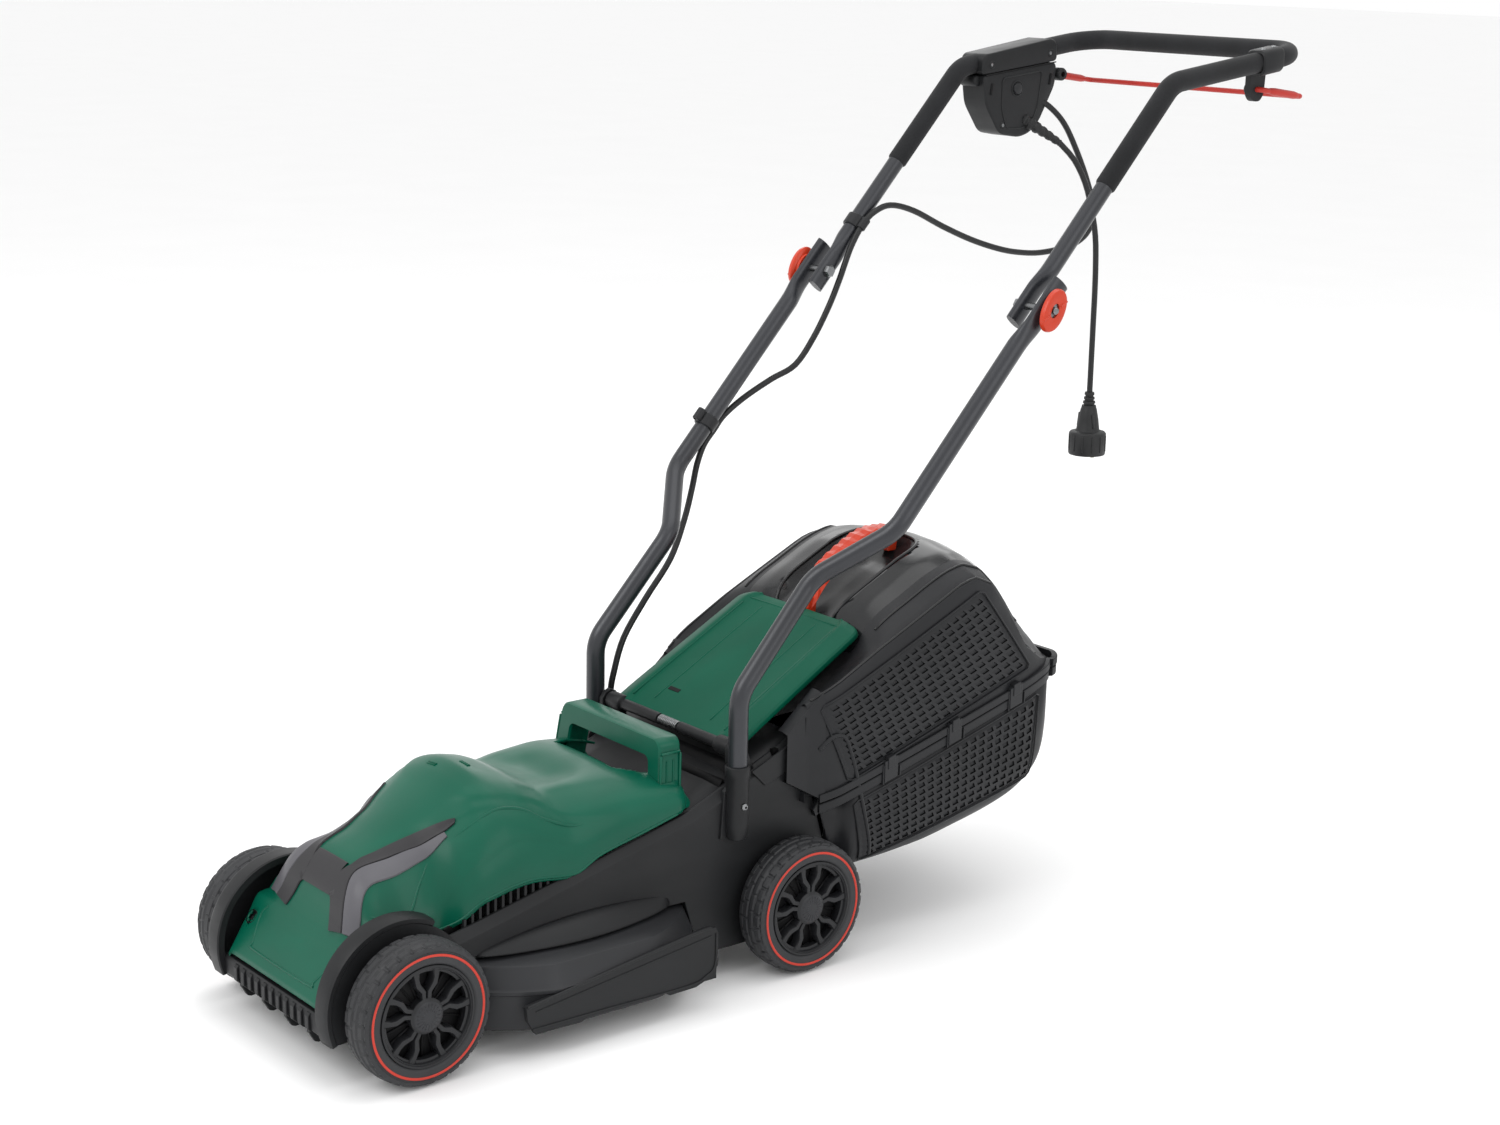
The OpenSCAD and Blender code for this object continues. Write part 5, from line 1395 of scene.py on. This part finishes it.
def knob(s, node):
    """Wing-shaped hand screw of the fold joint on side s."""
    shape = Shape()
    x0 = s * (LOWER_X + LOWER_R + 0.4)
    spot = lambda u, v, w: (x0 + s * w, PIVOT[0] + u, PIVOT[1] + v)
    outline = []
    for a in np.linspace(0, 2 * math.pi, 48, endpoint=False):
        c, q = math.cos(a), math.sin(a)
        r = 23.5 / math.hypot(c, q * (1.52 + 0.10 * abs(q)))
        u, v = r * c, r * q
        k = math.radians(62)
        outline.append((u * math.cos(k) - v * math.sin(k), u * math.sin(k) + v * math.cos(k)))
    rows = [[spot(u * k, v * k, w) for u, v in outline] for k, w in KNOB_STEPS]
    shape.rings(rows)
    shape.add(rows[0], [tuple(range(48))])
    for a in (0.5, 0.5 + math.pi):
        shape.sweep([spot(9 * math.cos(a), 9 * math.sin(a), 11.2),
                     spot(18 * math.cos(a), 18 * math.sin(a), 11.4)], 1.3, 8)
    shape.piece("turn_" + node, RED, node, "red_plastic", [node], smooth=40)


knob(1, "knob_left")
knob(-1, "knob_right")
bolts = Shape()
for s in (-1, 1):
    spin = about_x(PIVOT[0], PIVOT[1], 0.0, s)
    tip = LOWER_X + LOWER_R
    bolts.lathe([(0.1, tip + 14.5), (2.6, tip + 14), (3.9, tip + 12.6), (4, tip), (4, 152), (0.1, 152)], spin,
                24)
    bolts.lathe([(0.1, 148.6), (5.8, 148.8), (7.2, 150.6), (7.2, 154), (0.1, 154)], spin, 6)
    bolts.lathe([(0.1, tip + 8.2), (7.4, tip + 8.2), (7.4, tip + 9.4), (0.1, tip + 9.4)], spin, 32)
bolts.piece("fold_bolts", ZINC, "deck", "zinc_steel", ["handle_bolts"], smooth=30)

# ---------------------------------------------------------------- switch box, lever and cables

SW_X, SW_HALF = -UPPER_X, 20


def rounded(points, radius, n=5):
    """Outline with its corners rounded."""
    pts = [np.array(p, float) for p in points]
    out = []
    for i, b in enumerate(pts):
        a, c = pts[i - 1], pts[(i + 1) % len(pts)]
        r = min(radius, np.linalg.norm(a - b) * 0.45, np.linalg.norm(c - b) * 0.45)
        p, q = b + (a - b) / np.linalg.norm(a - b) * r, b + (c - b) / np.linalg.norm(c - b) * r
        for k in range(n + 1):
            t = k / n
            out.append(tuple((1 - t) ** 2 * p + 2 * t * (1 - t) * b + t * t * q))
    return out


def shell(outline, edge, name, node, crown=1.5):
    """A moulded part of the switch box: an outline with rounded, slightly crowned faces."""
    shape = Shape()
    middle = np.mean(np.array(outline), axis=0)
    inward = [(middle - np.array(p)) / np.linalg.norm(middle - np.array(p)) * edge for p in outline]
    rows = []
    for w, cut in ((-1, 1.0), (-0.97, 0.45), (-0.88, 0.0), (0.88, 0.0), (0.97, 0.45), (1, 1.0)):
        rows.append([(SW_X + w * SW_HALF, *(np.array(p) + n * cut)) for p, n in zip(outline, inward)])
    shape.rings(rows)
    for row, s in ((rows[0], -1), (rows[-1], 1)):
        bulge = np.array((s * crown * 0.5, 0, 0))
        inner = [tuple(np.array(p) + (np.array((p[0], *middle)) - np.array(p)) * 0.35 + bulge) for p in row]
        shape.rings([row, inner])
        shape.add(inner, [tuple(range(len(outline)))])
    return shape.piece(name, BLACK, "upper_handle", "black_plastic", [node], smooth=34)


CAP_OUT = [(717, 884), (717, 902), (722, 908), (828, 925), (837, 920), (838, 899)]
CASE_OUT = [(719, 884), (837, 898), (836, 872), (812, 828), (798, 816), (780, 811), (748, 816), (724, 850)]
shell(rounded(CAP_OUT, 6), 3.6, "switch_cap", "switch_shell_top")
shell(rounded(CASE_OUT, 8), 3.2, "switch_case", "switch_shell_bottom")
detail = Shape()
FACE = SW_X + SW_HALF
# screw bosses whose holes are near-black discs of painted shade
for y, z in ((731, 896), (825, 908), (752, 826)):
    spin = about_x(y, z, FACE)
    detail.lathe([(3.4, -2), (3.4, 0.4), (4.4, 0.9), (5, 0.3), (5.2, -2)], spin, 24, 0)
    detail.lathe([(0.1, 0.1), (3.4, 0.1), (3.4, -1)], spin, 24, 2)
    detail.lathe([(0.1, 0.5), (2.0, 0.4), (2.3, -1)], spin, 16, 1)
# small grooves and the parting line, drawn in the same near-black painted shade
for y, z in ((731, 868), (826, 878)):
    detail.sweep([(FACE + 0.5, y - 1, z - 6), (FACE + 0.5, y + 1, z + 6)], 1.6, 8, 2)
detail.sweep([(FACE + 0.6, 722, 884), (FACE + 0.6, 834, 897.6)], 0.8, 6, 2)
# raised frame on the near face
face_frame = [(748, 880), (812, 888), (806, 846), (797, 826), (780, 822), (757, 822), (748, 846)]
loop = [(FACE + 0.7, y, z) for y, z in rounded(face_frame, 6)]
detail.sweep(loop, 0.9, 6, 0, closed=True)
detail.sweep([(SW_X - 13, 718, 877), (SW_X + 9, 718, 877)], 6.5, 28, 0)
detail.piece("switch_details", [BLACK, ZINC, RECESS_SHADE], "upper_handle", "black_plastic", smooth=40)
button = Shape()
spin = about_x(772, 868, FACE)
button.lathe([(0.1, 4.2), (4, 4.1), (6, 3.4), (6.9, 2), (7, -2), (0.1, -2)], spin, 36)
button.piece("lock_knob", RIM, "lock_button", "rim_plastic", ["lock_button"])
collar = Shape()
collar.lathe([(7.3, -1), (7.4, 1.2), (8.4, 1.8), (9.4, 1.2), (9.8, -1)], spin, 36)
collar.piece("lock_collar", BLACK, "upper_handle", "black_plastic")

# strain relief: ribbed taper from the case to the lead
BOOT = [(-147, 789, 831), (-138, 800, 823), (-129, 812, 814), (-120, 823, 805)]
boot_line = curve(BOOT, 10)
last = len(boot_line) - 1
radii = [(8.4 - 4.2 * i / last) * (1.0 if i % 5 < 3 else 0.84) for i in range(last + 1)]
boot = Shape().sweep(boot_line, radii, 24)
boot.piece("strain_boot", PLUG, "upper_handle", "plug_rubber", ["strain_relief"], smooth=30)

# lever: coated rod with sleeved ends, and its pivot boots
AXIS = (845, 883)
bail_path = bend([(UPPER_X - 15, *AXIS), (UPPER_X, *AXIS), (UPPER_X, 914, 874), (-UPPER_X, 914, 874),
                  (-UPPER_X, *AXIS), (-UPPER_X + 15, *AXIS)], 8, 8)
lever = Shape().sweep(bail_path, 3.0, 16)
for s in (-1, 1):
    lever.sweep([(s * UPPER_X, 858, 881.4), (s * UPPER_X, 866, 880.3), (s * UPPER_X, 898, 876.1),
                 (s * UPPER_X, 904, 875.3)],
                [3.4, 4.3, 4.3, 3.4], 16)
lever.piece("lever_rod", LEVER, "bail", "red_lever", ["bail_lever"], smooth=50)
pivots = Shape()
for s, a, b in ((1, 143, 156), (-1, 141, 155)):
    spin = about_x(AXIS[0], AXIS[1], 0.0, s)
    pivots.lathe([(3.2, a), (6.4, a), (7.6, a + 2), (7.6, b - 3), (6.2, b), (3.2, b)], spin, 28)
pivots.piece("lever_boots", BLACK, "upper_handle", "rim_plastic", smooth=40)

# clamp and lug on the left-hand tube
level = math.atan2(923 - leg(UPPER_X, 300)[2], 908 - leg(UPPER_X, 300)[1])


def tube_z(y):
    """Height of the upper handle's near-level stretch at y."""
    return leg(UPPER_X, 300)[2] + (y - leg(UPPER_X, 300)[1]) * math.tan(level)


clamp = Shape()
rows = []
for y, r in ((831, 11.8), (832, 14.2), (834, 15), (860, 15), (862, 14.2), (863, 11.8)):
    rows.append([(UPPER_X + r * math.copysign(abs(math.cos(a)) ** 0.55, math.cos(a)), y,
                  tube_z(y) + r * 0.94 * math.copysign(abs(math.sin(a)) ** 0.55, math.sin(a)))
                 for a in np.linspace(0, 2 * math.pi, 40, endpoint=False)])
clamp.rings(rows)
lug_line = rounded([(834, 908), (834, 877), (840, 870), (851, 870), (857, 878), (859, 908)], 4)
clamp.prism(lug_line, (UPPER_X - 15, UPPER_X - 7.5), sideways)
for y, z in ((839, 899), (852, 901)):
    clamp.lathe([(0.1, 1.6), (2.4, 1.4), (3.2, 0.2), (3.2, -1), (0.1, -1)],
                lambda r, a, d, y=y, z=z: (UPPER_X - 15 - d, y + r * math.cos(a), z + r * math.sin(a)), 18, 1)
for y in (838, 855):
    clamp.lathe([(0.1, 1.6), (2.2, 1.4), (3.0, 0.2), (3.0, -1), (0.1, -1)],
                about_z(UPPER_X + 4, y, tube_z(y) + 14), 18, 1)
clamp.piece("lever_clamp", [BLACK, ZINC], "upper_handle", "rim_plastic", ["bail_bracket", "handle_screws"],
            smooth=36)

# motor cable: one cable that curves across the fold joint, baked in place on no body
UPPER_LINE = [(-148, 812, 854), (-143, 826, 846), (-139, 845, 829), (-137, 862, 805), (-136, 886, 763),
              (-136, 901, 726), (-136, 898, 699), (-136, 880, 684), (-136, 854, 677.5), (-137, 816, 674),
              (-140, 784, 676), (-142, 752, 682), (-144, 709, 695), (-146, 664, 713), (-148, 620, 733),
              (-149, 585, 741), (-149, 560, 734), (-149, 543, 720), (-149, 528, 698), (-149, 518, 676),
              (-150, 513, 662)]
LOWER_LINE = [(-152, 500, 632), (-157, 482, 596), (-164, 462, 566), (-172, 434, 551), (-180, 402, 532),
              (-183, 376, 514), (-183, 362, 499), (-183, 348, 483), (-182, 338, 462), (-180, 330, 436),
              (-170, 312, 404), (-152, 280, 368), (-138, 236, 332), (-128, 200, 296), (-124, 184, 260),
              (-124, 180, 240), (-124, 180, 222)]
cable = Shape().sweep(curve(UPPER_LINE + LOWER_LINE, 5), 3.5, 14)
cable_piece = make("motor_cable", cable.points, cable.faces, CABLE, "upper_handle", "cable_pvc", smooth=60)
cable_piece.parent = None
cable_piece.pop("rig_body", None)
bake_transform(cable_piece)
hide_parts("motor_cable_upper", "motor_cable_lower")


def clip(name, body, node, x, y, r, beside):
    """Band round a tube and the cable beside it."""
    c = np.array((x, y, PIVOT[1] + (y - PIVOT[0]) * LEAN[1] / LEAN[0]))
    along = np.array((0, *LEAN))
    across = np.array((1.0, 0, 0))
    third = np.cross(along, across)
    b = np.array(beside, float)
    shape = Shape()
    place = lambda u, v, w: tuple(c + across * u + third * v + along * w)
    for outer_r, inner_r, centre in ((r + 2.4, r + 0.1, np.zeros(2)), (5.3, 3.6, b)):
        spot = lambda q, a, d, m=centre: place(m[0] + q * math.cos(a), m[1] + q * math.sin(a), d)
        shape.lathe([(inner_r, -7), (outer_r - 0.6, -7), (outer_r, -6.2), (outer_r, 6.2), (outer_r - 0.6, 7),
                     (inner_r, 7)], spot, 32)
    d = b / np.linalg.norm(b)
    n2 = np.array((-d[1], d[0]))
    web = [d * (r - 1) + n2 * 4, b + n2 * 4.5, b - n2 * 4.5, d * (r - 1) - n2 * 4]
    shape.prism([tuple(p) for p in web], (-6.6, 6.6), place)
    return shape.piece(name, RIM, body, "rim_plastic", [node], smooth=36)


clip("clip_upper", "upper_handle", "cable_clip_upper", -UPPER_X, 545, UPPER_R, (14.6, 0))
clip("clip_lower", "deck", "cable_clip_lower", -LOWER_X, 352, LOWER_R, (0.5, -14.2))

# ---------------------------------------------------------------- floor and light

floor_data = bpy.data.meshes.new("floor")
floor_data.from_pydata([(-30, -30, 0), (30, -30, 0), (30, 30, 0), (-30, 30, 0)], [], [(0, 1, 2, 3)])
floor = bpy.data.objects.new("floor", floor_data)
g = Graph("floor_paint")
g.link(g.mix(g.noise(3.0, 4.0), (0.93, 0.93, 0.93), (0.96, 0.96, 0.96)), g.shader.inputs["Base Color"])
g.shader.inputs["Roughness"].default_value = 0.9
g.shader.inputs["Specular IOR Level"].default_value = 0.1
floor_data.materials.append(g.material)
bpy.context.scene.collection.objects.link(floor)


def area(name, spot, aim, size, power):
    """A rectangular lamp at spot that points at aim."""
    data = bpy.data.lights.new(name, "AREA")
    data.shape = "RECTANGLE"
    data.size, data.size_y = size
    data.energy = power
    lamp = bpy.data.objects.new(name, data)
    lamp.location = spot
    lamp.rotation_euler = (Vector(aim) - Vector(spot)).to_track_quat("-Z", "Y").to_euler()
    bpy.context.scene.collection.objects.link(lamp)


area("key", (-0.4, -2.6, 3.0), (0, 0.2, 0.3), (2.4, 2.0), 50)
area("side", (3.4, 0.6, 2.2), (0, 0.2, 0.4), (2.0, 2.6), 20)
area("top", (0.0, 0.8, 3.6), (0, 0.2, 0.2), (3.0, 3.0), 30)
area("rear", (-2.6, 2.6, 2.4), (0, 0.3, 0.4), (2.0, 2.0), 14)
world = bpy.data.worlds.new("studio")
world.use_nodes = True
world.node_tree.nodes["Background"].inputs["Color"].default_value = (1, 1, 1, 1)
world.node_tree.nodes["Background"].inputs["Strength"].default_value = 1.0
bpy.context.scene.world = world
bpy.context.scene.view_settings.view_transform = "Standard"
